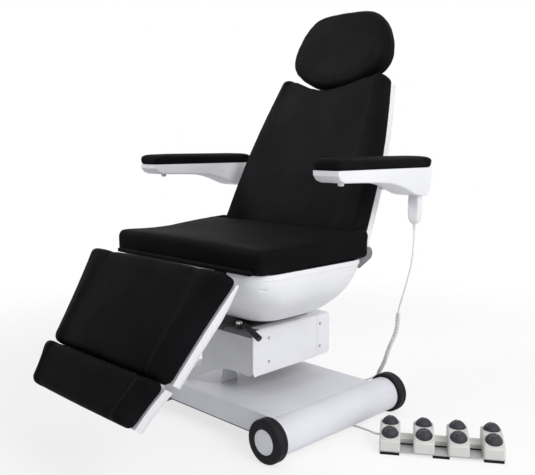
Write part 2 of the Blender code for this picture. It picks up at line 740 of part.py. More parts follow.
def lift_end_cap():
    start = HOUSING_SEAM_Y + SEAT_GAP
    wall = HOUSING_WALL
    ends = ((start - HOUSING_ROUND, 0.0), (HOUSING_HEAD_Y - 0.008, 0.0), (HOUSING_HEAD_Y - 0.002, 0.002),
            (HOUSING_HEAD_Y, 0.007))
    cap = place("lift_end_cap", skin([housing_loop(y, inset) for y, inset in ends]), LIFT_WHITE, lift_arm_body)
    boolean(cap, "INTERSECT", [housing_side(HOUSING_HEAD_Y + SEAT_GAP, start)])
    hollow = block((wall - HOUSING_X, start - 0.05, HOUSING_BOTTOM - 0.05),
                   (HOUSING_X - wall, HOUSING_HEAD_Y - wall, HOUSING_TOP - wall), HOUSING_ROUND - wall, 1)
    slot = block((-LINK_X, start - 0.05, SLOT_BOTTOM), (LINK_X, HOUSING_HEAD_Y + 0.05, HOUSING_TOP + 0.05))
    return cut(cap, helper(hollow), helper(slot))


def lift_actuator():
    radius = LIFT_TUBE_R
    z = LIFT_UPPER_Z + ARM_WEB_T / 2 + SEAT_GAP + radius
    start = LIFT_BASE_Y + EAR_HALF + 0.020
    tube = bar((0, start, z), (0, start + LIFT_TUBE_LENGTH, z), radius, 20)
    body = place("lift_actuator", tube, BLACK_PLASTIC, lift_arm_body)
    motor = block((-radius * 2.5, start + 0.025, z - radius), (radius * 0.7, start + 0.075, z + radius), 0.004, 1)
    return join(body, helper(motor))


# Carrier, swivel and lever


def lift_carrier():
    half_x = LINK_X - RUN_GAP * 15
    plate = place("lift_carrier", block((-PLATE_X, PLATE_FOOT_Y, PLATE_LOW), (PLATE_X, PLATE_HEAD_Y, PLATE_HIGH)),
                  BLACK_PLASTIC, carrier_body)
    foot = LIFT_LOWER_Z - LINK_H * 0.9
    outline = [(LIFT_HEAD_Y - EAR_HALF, PLATE_LOW), (LIFT_HEAD_Y - EAR_HALF, foot), (LIFT_HEAD_Y + EAR_HALF, foot),
               (LIFT_HEAD_Y + EAR_HALF, LIFT_UPPER_Z + 0.012), (LIFT_HEAD_Y + EAR_HALF / 2, PLATE_HIGH), (PLATE_HEAD_Y - 0.02,
               PLATE_HIGH), (PLATE_HEAD_Y - 0.02, PLATE_LOW)]
    pins = [cross_bar(LIFT_HEAD_Y, z, -LINK_X - LINK_T - 0.004, LINK_X + LINK_T + 0.004, SHAFT_R)
            for z in (LIFT_UPPER_Z, LIFT_LOWER_Z)]
    return join(plate, helper(slab(outline, -half_x, half_x)), *[helper(pin) for pin in pins])


def swivel_lever():
    low = PLATE_HIGH + SEAT_GAP
    eye = place("swivel_lever", turned([(0.0055, low + 0.006), (0.012, low + 0.006), (0.012, low), (0.0055, low),
                (0.0055, low + 0.006)], (LEVER_X, LEVER_Y, 0), (0, 0, 1), 20), BLACK_PLASTIC, lever_body)
    elbow = Vector((LEVER_X + 0.030, LEVER_Y, low + 0.003))
    tip = Vector((LEVER_X + LEVER_REACH, LEVER_Y, low + 0.003 - LEVER_DROP))
    arm = block((LEVER_X + 0.008, LEVER_Y - 0.006, low + 0.0005), tuple(elbow + Vector((0.002, 0.006, 0.0022))))
    return join(eye, helper(arm), helper(bar(elbow - (tip - elbow) * 0.12, tip, GRIP_R, 16)))


def swivel_bolt():
    low = PLATE_HIGH + SEAT_GAP
    profile = [(0, low + 0.013), (0.008, low + 0.013), (0.009, low + 0.012), (0.009, low + 0.006 + SEAT_GAP),
               (0.005, low + 0.006 + SEAT_GAP), (0.005, low), (0, low)]
    return place("swivel_bolt", turned(profile, (LEVER_X, LEVER_Y, 0), (0, 0, 1), 18), BRIGHT, carrier_body)


def swivel_plate():
    low = PLATE_HIGH + SEAT_GAP
    high = low + TURNTABLE_T
    disc = place("swivel_plate", bar((0, SWIVEL_Y, low), (0, SWIVEL_Y, high), TURNTABLE_R, 36), BLACK_PLASTIC, swivel_body)
    outline = eye((TILT_Y, TILT_Z), 0.016, (TILT_Y - 0.024, high - 0.002), (TILT_Y + 0.024, high - 0.002), sides=16)
    ears = [helper(slab(outline, sign * CLEVIS_X, sign * (CLEVIS_X + CLEVIS_T))) for sign in (-1, 1)]
    pin = cross_bar(TILT_Y, TILT_Z, -CLEVIS_X - CLEVIS_T / 2, CLEVIS_X + CLEVIS_T / 2, TILT_PIN_R)
    return join(disc, *ears, helper(pin))


# Seat


def seat_board():
    top = SEAT_BOTTOM - SEAT_GAP
    half = PAN_HALF - PAN_WALL - SLIDE_GAP
    chamfer = PAN_ROUND
    mesh_data = bmesh.new()
    outline = [(half, BOARD_FRONT_Y + chamfer), (half, BOARD_REAR_Y - chamfer), (half - chamfer, BOARD_REAR_Y),
               (chamfer - half, BOARD_REAR_Y), (-half, BOARD_REAR_Y - chamfer), (-half, BOARD_FRONT_Y + chamfer),
               (chamfer - half, BOARD_FRONT_Y), (half - chamfer, BOARD_FRONT_Y)]
    face = mesh_data.faces.new([mesh_data.verts.new((x, y, top - BOARD_T)) for x, y in outline])
    grown = bmesh.ops.extrude_face_region(mesh_data, geom=[face])
    moved = [item for item in grown["geom"] if isinstance(item, bmesh.types.BMVert)]
    bmesh.ops.translate(mesh_data, vec=(0, 0, BOARD_T), verts=moved)
    board = place("seat_board", mesh_data, STEEL, seat_body)
    under = top - BOARD_T
    tilt_half = CLEVIS_X - SLIDE_GAP
    post = eye((TILT_Y, TILT_Z), 0.016, (TILT_Y - 0.030, under + 0.004), (TILT_Y + 0.030, under + 0.004), sides=16)
    join(board, helper(slab(post, -tilt_half, tilt_half)))
    join(board, *[helper(solid) for sign in (-1, 1) for solid in leg_lug(sign, under)])
    join(board, *[helper(bracket_seat(sign, under)) for sign in (-1, 1)])
    return cut(board, helper(cross_bar(TILT_Y, TILT_Z, -0.09, 0.09, TILT_PIN_R + RUN_GAP)))


def bracket_seat(sign, under):
    """A rib at the rear edge that the back hinge bracket bolts against."""
    inner = BRACKET_X - SEAT_GAP
    return block((min(sign * inner, sign * (inner - 0.060)), BOARD_REAR_Y - 0.040, under + 0.001),
                 (max(sign * inner, sign * (inner - 0.060)), BOARD_REAR_Y + 0.006, under + BOARD_T - 0.001))


def leg_lug(sign, under):
    """A hinge lug that carries the leg rest on a cross pin."""
    y, z = LEG_PIVOT
    rear = BOARD_FRONT_Y + 0.012
    outline = eye((y, z), LUG_R, (rear, under + 0.001), (rear, under + BOARD_T - 0.001), sides=20)
    pin = cross_bar(y, z, sign * (LUG_X + LUG_T / 2), sign * (LUG_X + LUG_T + LEG_EAR_T), LEG_PIN_R, 16)
    return slab(outline, sign * LUG_X, sign * (LUG_X + LUG_T)), pin


def pan_levels():
    """Height, half width, front and rear of the bowl from its rim to its flat bottom."""
    rim = SEAT_BOTTOM - SEAT_GAP
    deep = rim - PAN_BOTTOM
    shape = ((0.0, 1.0, 0.0, 0.0), (0.10, 1.0, 0.0, 0.0), (0.26, 0.975, 0.03, 0.02), (0.48, 0.905, 0.10, 0.045),
             (0.70, 0.77, 0.22, 0.055), (0.88, 0.62, 0.33, 0.06), (1.0, 0.47, 0.40, 0.065))
    length = PAN_REAR_Y - PAN_FRONT_Y
    for drop, width, front, rear in shape:
        yield rim - deep * drop, PAN_HALF * width, PAN_FRONT_Y + length * front, PAN_REAR_Y - length * rear


def seat_pan():
    outer = [rounded_loop(half, front, rear, PAN_ROUND, z) for z, half, front, rear in pan_levels()]
    inner = [rounded_loop(half - PAN_WALL, front + PAN_WALL, rear - PAN_WALL, PAN_ROUND - PAN_WALL,
                          z if index == 0 else z + PAN_WALL)
             for index, (z, half, front, rear) in enumerate(pan_levels())]
    mouth_x = CLEVIS_X + CLEVIS_T + 0.012
    mouth = [(TILT_Y - 0.045, TILT_Y + 0.055)]
    low, high = mouth[0]
    holes = [rounded_loop(mouth_x, low, high, 0.012, PAN_BOTTOM), rounded_loop(mouth_x, low, high, 0.012,
             PAN_BOTTOM + PAN_WALL)]
    pan = place("seat_pan", skin(outer + holes + inner[::-1], ring=True), WHITE, seat_body)
    notch = block((SEAT_GAP - BRACKET_X - BRACKET_T - 0.003, 0.0, PAN_NOTCH_Z),
                  (BRACKET_X + BRACKET_T + 0.003 - SEAT_GAP, PAN_REAR_Y + 0.05, SEAT_BOTTOM + 0.05))
    lug_notches = [block((min(sign * LUG_X, sign * LUG_END) - 0.004, PAN_FRONT_Y - 0.02, LEG_PIVOT[1] - LUG_R - 0.006),
                         (max(sign * LUG_X, sign * LUG_END) + 0.004, BOARD_FRONT_Y - 0.004, SEAT_BOTTOM + 0.02))
                   for sign in (-1, 1)]
    return cut(pan, helper(notch), *[helper(solid) for solid in lug_notches])


def seat_cushion():
    length = SEAT_REAR_Y - SEAT_FRONT_Y
    top = SEAT_TOP - SEAT_BOTTOM - CROWN * 0.5

    def high_at(v):
        share = v / length
        return top - 0.003 * sin(pi * min(1.0, share * 1.4)) + SEAT_RISE * max(0.0, share - 0.45) / 0.55

    full = SEAT_WING_Y - SEAT_FRONT_Y
    stations = pad_stations(0.0, full, tapered(0.0, full, SEAT_HALF, SEAT_HALF - 0.006, 0.0), 0.0, high_at, 8)
    pad = place("seat_cushion", pad_form(stations, CROWN * 0.5, None, SEAT.at), LEATHER, seat_body)
    room = BACK_HALF_LOW + 0.0045
    return cut(pad, helper(block((-room, SEAT_REAR_Y, SEAT_BOTTOM - 0.05), (room, SEAT_WING_Y + 0.05, SEAT_TOP + 0.1))))


def knee_flap():
    y = SEAT_FRONT_Y - FLAP_R - SLIDE_GAP
    z = SEAT_BOTTOM + FLAP_R
    soft = 0.003
    profile = [(0, FLAP_HALF), (FLAP_R - soft, FLAP_HALF), (FLAP_R, FLAP_HALF - soft), (FLAP_R, soft - FLAP_HALF),
               (FLAP_R - soft, -FLAP_HALF), (0, -FLAP_HALF)]
    return place("knee_flap", turned(profile, (0, y, z), (1, 0, 0), 12), LEATHER, seat_body)


def hinge_bracket(name, sign):
    y, z = BACK_PIVOT
    under = SEAT_BOTTOM - SEAT_GAP - BOARD_T
    tail = BOARD_REAR_Y - 0.040
    outline = eye((y, z), BRACKET_R, (tail, under - 0.002), (tail, under - 0.006), (tail + 0.036, under - 0.018), sides=24)
    inner = sign * BRACKET_X
    bracket = place(name, slab(outline, inner, inner + sign * BRACKET_T), BRACKET_GREY, seat_body)
    pin = cross_bar(y, z, inner - sign * 0.026, inner + sign * BRACKET_T / 2, BACK_PIN_R)
    return join(bracket, helper(pin))


def seat_actuator(name, x, start):
    """A linear actuator hung under the seat board: tube, motor and hanger."""
    top = SEAT_BOTTOM - SEAT_GAP - BOARD_T - SEAT_GAP
    z = top - ACTUATOR_DROP
    tube = place(name, bar((x, start, z), (x, start + ACTUATOR_LENGTH, z), ACTUATOR_R, 20), BLACK_PLASTIC, seat_body)
    middle = start + ACTUATOR_LENGTH / 2
    motor = block((x - MOTOR_HALF, middle - MOTOR_LENGTH / 2, z - 2 * ACTUATOR_R),
                  (x + MOTOR_HALF, middle + MOTOR_LENGTH / 2, z + ACTUATOR_R * 0.3), 0.004, 1)
    hanger = block((x - ACTUATOR_R / 2, middle - ACTUATOR_R * 0.7, z), (x + ACTUATOR_R / 2, middle + ACTUATOR_R * 0.7, top))
    return join(tube, helper(motor), helper(hanger))


# Back, armrests and headrest


def back_dip(x, v, n):
    """Draws the top edge down in a soft scoop under the headrest."""
    share = cos(pi / 2 * min(1.0, abs(x) / BACK_HALF_HIGH)) ** 2 * max(0.0, v / BACK_LENGTH) ** 2
    return BACK.at(x, v - BACK_DIP * share, n)


back_half = tapered(0.0, BACK_LENGTH, BACK_HALF_LOW, BACK_HALF_HIGH, -BACK_BULGE)


def back_cushion():
    stations = pad_stations(BACK_START, BACK_LENGTH, back_half, SEAT_GAP - BACK_PAD_T, lambda v: -CROWN * 0.5, 9)
    return place("back_cushion", pad_form(stations, CROWN, BACK_SEAM_X, back_dip), LEATHER, back_body)


def back_shell():
    low = -BACK_PAD_T - BACK_SHELL_T
    start = BACK_START - 0.003
    shell = place("back_shell", shell_form(BACK, start, BACK_LENGTH - 0.010, lambda v: back_half(v) - BACK_SHELL_INSET,
                  low, -BACK_PAD_T, 0.014, back_dip), WHITE, back_body)
    y, z = BACK_PIVOT
    for sign in (-1, 1):
        inner = sign * (BRACKET_X - 0.030)
        outer = sign * (BRACKET_X - RUN_GAP)
        ear = eye((y, z), BACK_EAR_R, BACK.side(start + 0.012, -BACK_PAD_T - 0.002), BACK.side(start + 0.012, low + 0.002),
                  sides=24)
        join(shell, helper(slab(ear, inner, outer)))
    cut(shell, helper(cross_bar(y, z, -0.4, 0.4, BACK_PIN_R + RUN_GAP)),
        helper(cross_bar(*ARM_PIVOT, -0.4, 0.4, ARM_SHAFT_R + SEAT_GAP)))
    return cut(shell, helper(head_bar_form(SLIDE_GAP, 0.06)))


def head_bar_form(grow, extra):
    """The flat bar that slides in the back shell; with grow it is the channel that the bar runs in."""
    middle = -BACK_PAD_T - BACK_SHELL_T / 2
    half_t = HEAD_BAR_T / 2 + grow
    start = HEAD_BAR_TOP - HEAD_BAR_LENGTH - grow
    end = HEAD_BAR_TOP + extra
    outline = [BACK.side(start, middle - half_t), BACK.side(end, middle - half_t), BACK.side(end, middle + half_t),
               BACK.side(start, middle + half_t)]
    return slab(outline, -HEAD_BAR_X - grow, HEAD_BAR_X + grow)


def headrest_bar():
    strip = place("headrest_bar", head_bar_form(0.0, 0.0), STEEL, head_slide_body)
    knuckle = cross_bar(*HEAD_PIVOT, -HEAD_BAR_X, HEAD_BAR_X, HEAD_BAR_T * 0.75, 20)
    pin = cross_bar(*HEAD_PIVOT, -HEAD_BAR_X - 0.014, HEAD_BAR_X + 0.014, HEAD_PIN_R, 16)
    return join(strip, helper(knuckle), helper(pin))


def head_half(v):
    """Half width of the six-sided headrest: a narrow foot, wide shoulders and a drawn-in top."""
    corners = ((-1.0, 0.19), (-0.839, 0.545), (-0.585, 0.85), (-0.314, 0.978), (-0.102, 0.995), (0.195, 0.955),
               (0.492, 0.872), (0.788, 0.728), (0.932, 0.59), (1.0, 0.43))
    share = v / HEAD_HALF_LENGTH
    for (low, low_half), (high, high_half) in zip(corners, corners[1:]):
        if share <= high:
            return HEAD_HALF_WIDTH * (low_half + (high_half - low_half) * (share - low) / (high - low))
    return HEAD_HALF_WIDTH * corners[-1][1]


def headrest_cushion():
    stations = []
    for v, half, low, high in pad_stations(-HEAD_HALF_LENGTH, HEAD_HALF_LENGTH, head_half, SEAT_GAP - HEAD_T,
                                           lambda v: -CROWN * 0.6, 11):
        stations.append((v, half, low + HEAD_TAPER * max(0.0, -v / HEAD_HALF_LENGTH - 0.5), high))
    return place("headrest_cushion", pad_form(stations, CROWN * 1.2, None, HEAD.at), LEATHER, headrest_body)


def headrest_plate():
    low = -HEAD_T - HEAD_PLATE_T
    reach = HEAD_HALF_LENGTH * 0.50
    plate = place("headrest_plate", shell_form(HEAD, -reach, reach, lambda v: head_half(v) * 0.62, low, -HEAD_T,
                  HEAD_PLATE_T * 0.5, count=4), BLACK_PLASTIC, headrest_body)
    y, z = HEAD_PIVOT
    pivot = Vector((y, z)) - Vector(HEAD_MID)
    v = pivot.dot(HEAD.along.yz)
    for sign in (-1, 1):
        inner = sign * (HEAD_BAR_X + SLIDE_GAP)
        outer = sign * (HEAD_BAR_X + 0.012)
        ear = eye((y, z), 0.0125, HEAD.side(v - 0.022, -HEAD_T - 0.004), HEAD.side(v + 0.022, -HEAD_T - 0.004), sides=16)
        join(plate, helper(slab(ear, inner, outer)))
    return cut(plate, helper(cross_bar(y, z, -0.1, 0.1, HEAD_PIN_R + RUN_GAP, 16)))


def arm_shaft():
    return place("arm_shaft", cross_bar(*ARM_PIVOT, -ARM_SHAFT_END, ARM_SHAFT_END, ARM_SHAFT_R, 20), BRIGHT, back_body)


def arm_shell(side, sign):
    top = ARM_PAD_TOP - ARM_PAD_T - SEAT_GAP
    front_low = top - ARM_FRONT_DEPTH
    outline = [(ARM_FRONT_Y + 0.003, top), (ARM_FRONT_Y + 0.004, top - 0.012), (ARM_FRONT_Y + 0.014, front_low + 0.006),
               (ARM_FRONT_Y + 0.030, front_low), (ARM_FRONT_Y + 0.190, front_low - 0.006),
               (ARM_REAR_Y - 0.090, ARM_REAR_Z + 0.008), (ARM_REAR_Y - 0.070, ARM_REAR_Z),
               (ARM_REAR_Y - 0.018, ARM_REAR_Z), (ARM_REAR_Y - 0.004, ARM_REAR_Z + 0.014), (ARM_REAR_Y, top)]
    shell = place("arm_shell_" + side, slab(outline, sign * ARM_X - ARM_HALF, sign * ARM_X + ARM_HALF), WHITE,
                  arm_bodies[side])
    soften = shell.modifiers.new("round", "BEVEL")
    soften.width = 0.006
    soften.segments = 2
    stud_y = ARM_FRONT_Y + 0.062
    stud = bar((sign * ARM_X, stud_y, front_low + 0.004), (sign * ARM_X, stud_y, front_low - STUD_H), STUD_R, 16)
    join(shell, helper(stud))
    end = ARM_SHAFT_END + SEAT_GAP
    inner = ARM_X - ARM_HALF - 0.02
    return cut(shell, helper(cross_bar(*ARM_PIVOT, sign * inner, sign * end, ARM_SHAFT_R + RUN_GAP)))


def arm_pad(side, sign):
    length = ARM_REAR_Y - ARM_FRONT_Y
    stations = pad_stations(0.0, length, tapered(0.0, length, ARM_PAD_HALF, ARM_PAD_HALF), 0.0,
                            lambda v: ARM_PAD_T - 0.004, 5, 0.012)

    def bend(x, v, n):
        return ARM.at(x + sign * ARM_X, v, n)

    return place("arm_pad_" + side, pad_form(stations, 0.004, None, bend), LEATHER, arm_bodies[side])


# Leg rest and foot rest


leg_half = tapered(0.0, LEG_LENGTH, LEG_HALF_TOP, LEG_HALF_LOW)
FOOT_START = LEG_LENGTH + FOOT_GAP
FOOT_END = FOOT_START + FOOT_LENGTH
foot_half = tapered(FOOT_START, FOOT_END, FOOT_HALF_TOP, FOOT_HALF_LOW)


def leg_cushion():
    stations = pad_stations(LEG_START, LEG_LENGTH, leg_half, SEAT_GAP - LEG_PAD_T, lambda v: -CROWN * 0.5, 6)
    return place("leg_cushion", pad_form(stations, CROWN, LEG_SEAM_X, LEG.at), LEATHER, leg_body)


def rod_bars(grow, start, end):
    return [bar(LEG.at(sign * ROD_X, start, -ROD_DEPTH), LEG.at(sign * ROD_X, end, -ROD_DEPTH), ROD_R + grow, 16)
            for sign in (-1, 1)]


def leg_shell():
    low = -LEG_PAD_T - LEG_SHELL_T
    start = LEG_SHELL_START
    shell = place("leg_shell", shell_form(LEG, start, LEG_LENGTH - 0.006, lambda v: leg_half(v) - 0.003, low, -LEG_PAD_T,
                  0.014), WHITE, leg_body)
    y, z = LEG_PIVOT
    for sign in (-1, 1):
        inner = sign * (LUG_X + LUG_T + SLIDE_GAP)
        outer = inner + sign * LEG_EAR_T
        ear = eye((y, z), LUG_R - 0.003, LEG.side(start + 0.005, low + 0.004), LEG.side(start + 0.055, low + 0.004))
        join(shell, helper(slab(ear, inner, outer)))
    cut(shell, helper(cross_bar(y, z, -0.3, 0.3, LEG_PIN_R + RUN_GAP, 16)))
    return cut(shell, *[helper(rod) for rod in rod_bars(RUN_GAP, FOOT_START - ROD_REACH - 0.004, LEG_LENGTH + 0.05)])


def foot_cushion():
    stations = pad_stations(FOOT_START, FOOT_END, foot_half, FOOT_RISE - LEG_PAD_T + SEAT_GAP,
                            lambda v: FOOT_RISE - CROWN * 0.5, 4)
    return place("foot_cushion", pad_form(stations, CROWN * 0.7, LEG_SEAM_X, LEG.at), LEATHER, foot_body)


def foot_shell():
    high = FOOT_RISE - LEG_PAD_T
    shell = place("foot_shell", shell_form(LEG, FOOT_START + 0.004, FOOT_END - 0.004, lambda v: foot_half(v) - 0.003,
                  high - LEG_SHELL_T, high, 0.014), WHITE, foot_body)
    return join(shell, *[helper(rod) for rod in rod_bars(0.0, FOOT_START - ROD_REACH, FOOT_START + 0.03)])


# Handset and cords


def pedal_point(across, deep, z):
    turn = radians(PEDAL_TURN)
    x = PEDAL_MID[0] + across * cos(turn) - deep * sin(turn)
    y = PEDAL_MID[1] + across * sin(turn) + deep * cos(turn)
    return Vector((x, y, z))


HANDSET_TOP = ARM_REAR_Z - SEAT_GAP
CORD_START = Vector((HANDSET_X, HANDSET_Y, HANDSET_TOP - HANDSET_LENGTH - RELIEF_LENGTH - SEAT_GAP))
COIL_START = Vector((0.330, 0.199, 0.330))
COIL_END = Vector((0.178, 0.308, 0.078))
GLAND_FACE = Vector((GLAND_X, COVER_HEAD_Y + GLAND_LENGTH + SEAT_GAP, GLAND_Z))
PEDAL_ENTRY = Vector((0.192, 0.060, 0.028))
PEDAL_LOW = PEDAL_FOOT_H + PEDAL_PLATE_T + 2 * SEAT_GAP
PEDAL_END = 1.5 * PEDAL_PITCH + PEDAL_BOX[0] / 2
PEDAL_SOCKET = pedal_point(-PEDAL_END, PEDAL_CORD_DEPTH, PEDAL_LOW + PEDAL_CORD_R + 0.016)
PEDAL_OUT = pedal_point(-1, 0, 0) - pedal_point(0, 0, 0)


def handset():
    half_x = HANDSET_WIDTH / 2
    half_y = HANDSET_DEPTH / 2
    shape = ((0.0, 0.86, 0.84), (0.06, 0.98, 0.96), (0.45, 1.0, 1.0), (0.80, 0.86, 0.94), (0.94, 0.60, 0.70),
             (1.0, 0.36, 0.50))
    loops = []
    for drop, wide, deep in shape:
        loop = rounded_loop(half_x * wide, -half_y * deep, half_y * deep, 0.008 * wide, HANDSET_TOP - HANDSET_LENGTH * drop, 3)
        loops.append([Vector(point) + Vector((HANDSET_X, HANDSET_Y, 0)) for point in loop])
    body = place("handset", skin(loops), WHITE, arm_bodies["left"])
    low = HANDSET_TOP - HANDSET_LENGTH
    relief = turned([(0, low + 0.004), (0.0050, low + 0.004), (0.0050, low), (CORD_R + 0.0012, low - RELIEF_LENGTH),
                     (0, low - RELIEF_LENGTH)], (HANDSET_X, HANDSET_Y, 0), (0, 0, 1), 14)
    return join(body, helper(relief))


def smooth_route(points, count):
    """A smooth curve through the route's points, with its first and last stretches left straight."""
    route = [points[0]]
    spans = len(points) - 3
    for index in range(count):
        place_on = index / (count - 1) * spans
        span = min(int(place_on), spans - 1)
        t = place_on - span
        before, start, end, after = points[span:span + 4]
        route.append(0.5 * (2 * start + (end - before) * t + (2 * before - 5 * start + 4 * end - after) * t ** 2
                            + (3 * start - before - 3 * end + after) * t ** 3))
    return route + [points[-1]]


def cord(name, points, radius, resolution, body=None):
    curve = bpy.data.curves.new(name, "CURVE")
    curve.dimensions = "3D"
    curve.bevel_depth = radius
    curve.bevel_resolution = resolution
    curve.use_fill_caps = True
    spline = curve.splines.new("POLY")
    spline.points.add(len(points) - 1)
    for point, target in zip(spline.points, points):
        point.co = (*target, 1.0)
    curve.materials.append(CORD_WHITE)
    piece = bpy.data.objects.new(name, curve)
    bpy.context.scene.collection.objects.link(piece)
    return carried(piece, body)


COIL_LEAD = Vector((-0.30, 0.24, -0.92)).normalized()
COIL_TAIL = Vector((-0.72, 0.25, -0.65)).normalized()
LEAD = 0.010
UPPER_ROUTE = [CORD_START, CORD_START - Vector((0, 0, 0.012)), Vector((0.371, 0.197, 0.477)), Vector((0.360, 0.186, 0.405)),
               COIL_START - COIL_LEAD * LEAD, COIL_START]
COIL_ROUTE = [COIL_START, COIL_START + COIL_LEAD * LEAD, Vector((0.305, 0.226, 0.262)), Vector((0.268, 0.244, 0.196)),
              Vector((0.224, 0.282, 0.134)), COIL_END - COIL_TAIL * LEAD, COIL_END]
LOWER_ROUTE = [COIL_END, COIL_END + COIL_TAIL * LEAD, Vector((0.140, 0.304, 0.054)), Vector((0.108, 0.275, 0.056)),
               GLAND_FACE + Vector((0, 0.014, 0)), GLAND_FACE]
PEDAL_ROUTE = [PEDAL_ENTRY - Vector((0, 0, SEAT_GAP)), PEDAL_ENTRY - Vector((0, 0, 0.008)), Vector((0.199, 0.062, 0.0085)),
               Vector((0.220, 0.069, 0.0042)), Vector((0.258, 0.080, 0.0036)), Vector((0.312, 0.082, 0.0040)),
               PEDAL_SOCKET + PEDAL_OUT * 0.012, PEDAL_SOCKET + PEDAL_OUT * SEAT_GAP]


def coil_points():
    """Curls round the coil's route, growing from a straight lead at each end."""
    per_curl = 7
    count = CURL_COUNT * per_curl
    route = smooth_route(COIL_ROUTE, count + 1)[1:-1]
    points = []
    for index, centre in enumerate(route):
        ahead = route[min(index + 1, count)]
        behind = route[max(index - 1, 0)]
        along = (ahead - behind).normalized()
        side = along.cross(Vector((0, 1, 0))).normalized()
        out = along.cross(side)
        grow = min(1.0, index / per_curl, (count - index) / per_curl)
        angle = 2 * pi * index / per_curl
        points.append(centre + (side * cos(angle) + out * sin(angle)) * CURL_R * grow)
    start = COIL_ROUTE[0] + COIL_LEAD * SEAT_GAP
    end = COIL_ROUTE[-1] - COIL_TAIL * SEAT_GAP
    return [start, *points, end]


def least_self_gap(points, apart):
    """Least distance between stretches of the cord that are at least half a curl apart, less its diameter."""
    least = 1.0
    for index, point in enumerate(points):
        for other in points[index + apart:index + apart * 4]:
            least = min(least, (other - point).length)
    return least - 2 * CORD_R


# Foot control


def pedal_block(low, high, rounding=0.0, segments=2):
    """A box in the foot control's own turned frame."""
    mesh_data = block(low, high, rounding, segments)
    turn = Matrix.Translation((*PEDAL_MID, 0)) @ Matrix.Rotation(radians(PEDAL_TURN), 4, "Z")
    bmesh.ops.transform(mesh_data, matrix=turn, verts=mesh_data.verts)
    return mesh_data


def pedal_places():
    return [(index - 1.5) * PEDAL_PITCH for index in range(4)]


def pedal_box(x):
    """One box of the foot control: its top slopes up from the front to a ridge and runs level to the rear."""
    wide, long = PEDAL_BOX
    low = PEDAL_LOW - PEDAL_TIE_H
    outline = [(-long / 2, low), (long / 2, low), (long / 2, PEDAL_REAR_TOP), (PEDAL_RIDGE, PEDAL_REAR_TOP),
               (-long / 2, PEDAL_FRONT_TOP)]
    mesh_data = slab(outline, x - wide / 2, x + wide / 2)
    bmesh.ops.bevel(mesh_data, geom=list(mesh_data.edges), offset=PEDAL_ROUND, segments=1, profile=0.5, affect="EDGES")
    turn = Matrix.Translation((*PEDAL_MID, 0)) @ Matrix.Rotation(radians(PEDAL_TURN), 4, "Z")
    bmesh.ops.transform(mesh_data, matrix=turn, verts=mesh_data.verts)
    return mesh_data


def dome_seats(x):
    """Middle and upward direction of the seats of a box's front and rear domes."""
    front = -PEDAL_BOX[1] / 2
    slope = Vector((PEDAL_RIDGE - front, PEDAL_REAR_TOP - PEDAL_FRONT_TOP)).normalized()
    origin = pedal_point(0, 0, 0)
    yield (pedal_point(x, (front + PEDAL_RIDGE) / 2, (PEDAL_FRONT_TOP + PEDAL_REAR_TOP) / 2),
           pedal_point(0, -slope.y, slope.x) - origin)
    yield pedal_point(x, (PEDAL_RIDGE - front) / 2, PEDAL_REAR_TOP), Vector((0, 0, 1))


def pedal_housing():
    """Four boxes joined by a low tie at the rear, trimmed flat underneath."""
    wide, long = PEDAL_BOX
    under = PEDAL_LOW - PEDAL_TIE_H
    housing = place("pedal_housing", pedal_block((wide / 4 - PEDAL_END, long * 0.05, under - 0.004),
                    (PEDAL_END - wide / 4, long * 0.44, PEDAL_LOW + PEDAL_TIE_H)), PEDAL_GREY)
    join(housing, *[helper(pedal_box(x)) for x in pedal_places()])
    wells = [bar(seat - up * WELL_DEPTH, seat + up * WELL_DEPTH, DOME_R + SLIDE_GAP, 16)
             for x in pedal_places() for seat, up in dome_seats(x)]
    floor = pedal_block((-2 * PEDAL_END, -2 * long, PEDAL_LOW - 4 * PEDAL_TIE_H), (2 * PEDAL_END, 2 * long, PEDAL_LOW))
    return cut(housing, *[helper(well) for well in wells], helper(floor))


def pedal_dome(name, seat, up):
    low = DOME_TRAVEL + SEAT_GAP - WELL_DEPTH
    profile = [(0, DOME_H), (DOME_R * 0.38, DOME_H * 0.94), (DOME_R * 0.70, DOME_H * 0.74), (DOME_R * 0.92, DOME_H * 0.42),
               (DOME_R, DOME_H * 0.12), (DOME_R, low), (0, low)]
    button = axis_empty(name + "_axis", seat)
    return place(name, turned(profile, seat, up, 16), DOME_GREY, button)


def pedal_plate():
    """A strip under the fronts of the boxes."""
    long = PEDAL_BOX[1]
    low = PEDAL_FOOT_H + SEAT_GAP
    return place("pedal_plate", pedal_block((-PEDAL_END, 0.003 - long / 2, low), (PEDAL_END, -long * 0.03,
                 low + PEDAL_PLATE_T)), BRIGHT)


def pedal_mat():
    """Rubber feet on a thin backing strip under the plate."""
    wide, long = PEDAL_BOX
    strip = place("pedal_mat", pedal_block((0.006 - PEDAL_END, -long * 0.40, PEDAL_FOOT_H - 0.003),
                  (PEDAL_END - 0.006, -long * 0.12, PEDAL_FOOT_H)), RUBBER)
    feet = []
    for x, half in ((-1.5 * PEDAL_PITCH, wide * 0.47), (0.0, wide * 0.40), (1.5 * PEDAL_PITCH, wide * 0.47)):
        feet.append(helper(pedal_block((x - half, 0.001 - long / 2, 0.0), (x + half, long * 0.46, PEDAL_FOOT_H - 0.001))))
    return join(strip, *feet)


# Build

base_cover()
base_chassis()
for side, sign in (("left", 1), ("right", -1)):
    side_tube("base_tube_" + side, sign)
    foot_ring("foot_ring_front_" + side, sign, -1)
    foot_ring("foot_ring_rear_" + side, sign, 1)
lift_pedestal()
pedestal_shroud()
lift_shaft("lift_shaft_upper", LIFT_UPPER_Z)
lift_shaft("lift_shaft_lower", LIFT_LOWER_Z)

link_pair("lift_arm", LIFT_UPPER_Z, -0.050, 0.060, ARM_WEB_T, lift_arm_body, True)
link_pair("lift_link", LIFT_LOWER_Z, -0.030, 0.030, ARM_WEB_T, lift_link_body)
lift_cover()
lift_end_cap()
lift_actuator()
lift_carrier()
swivel_bolt()
swivel_lever()
swivel_plate()

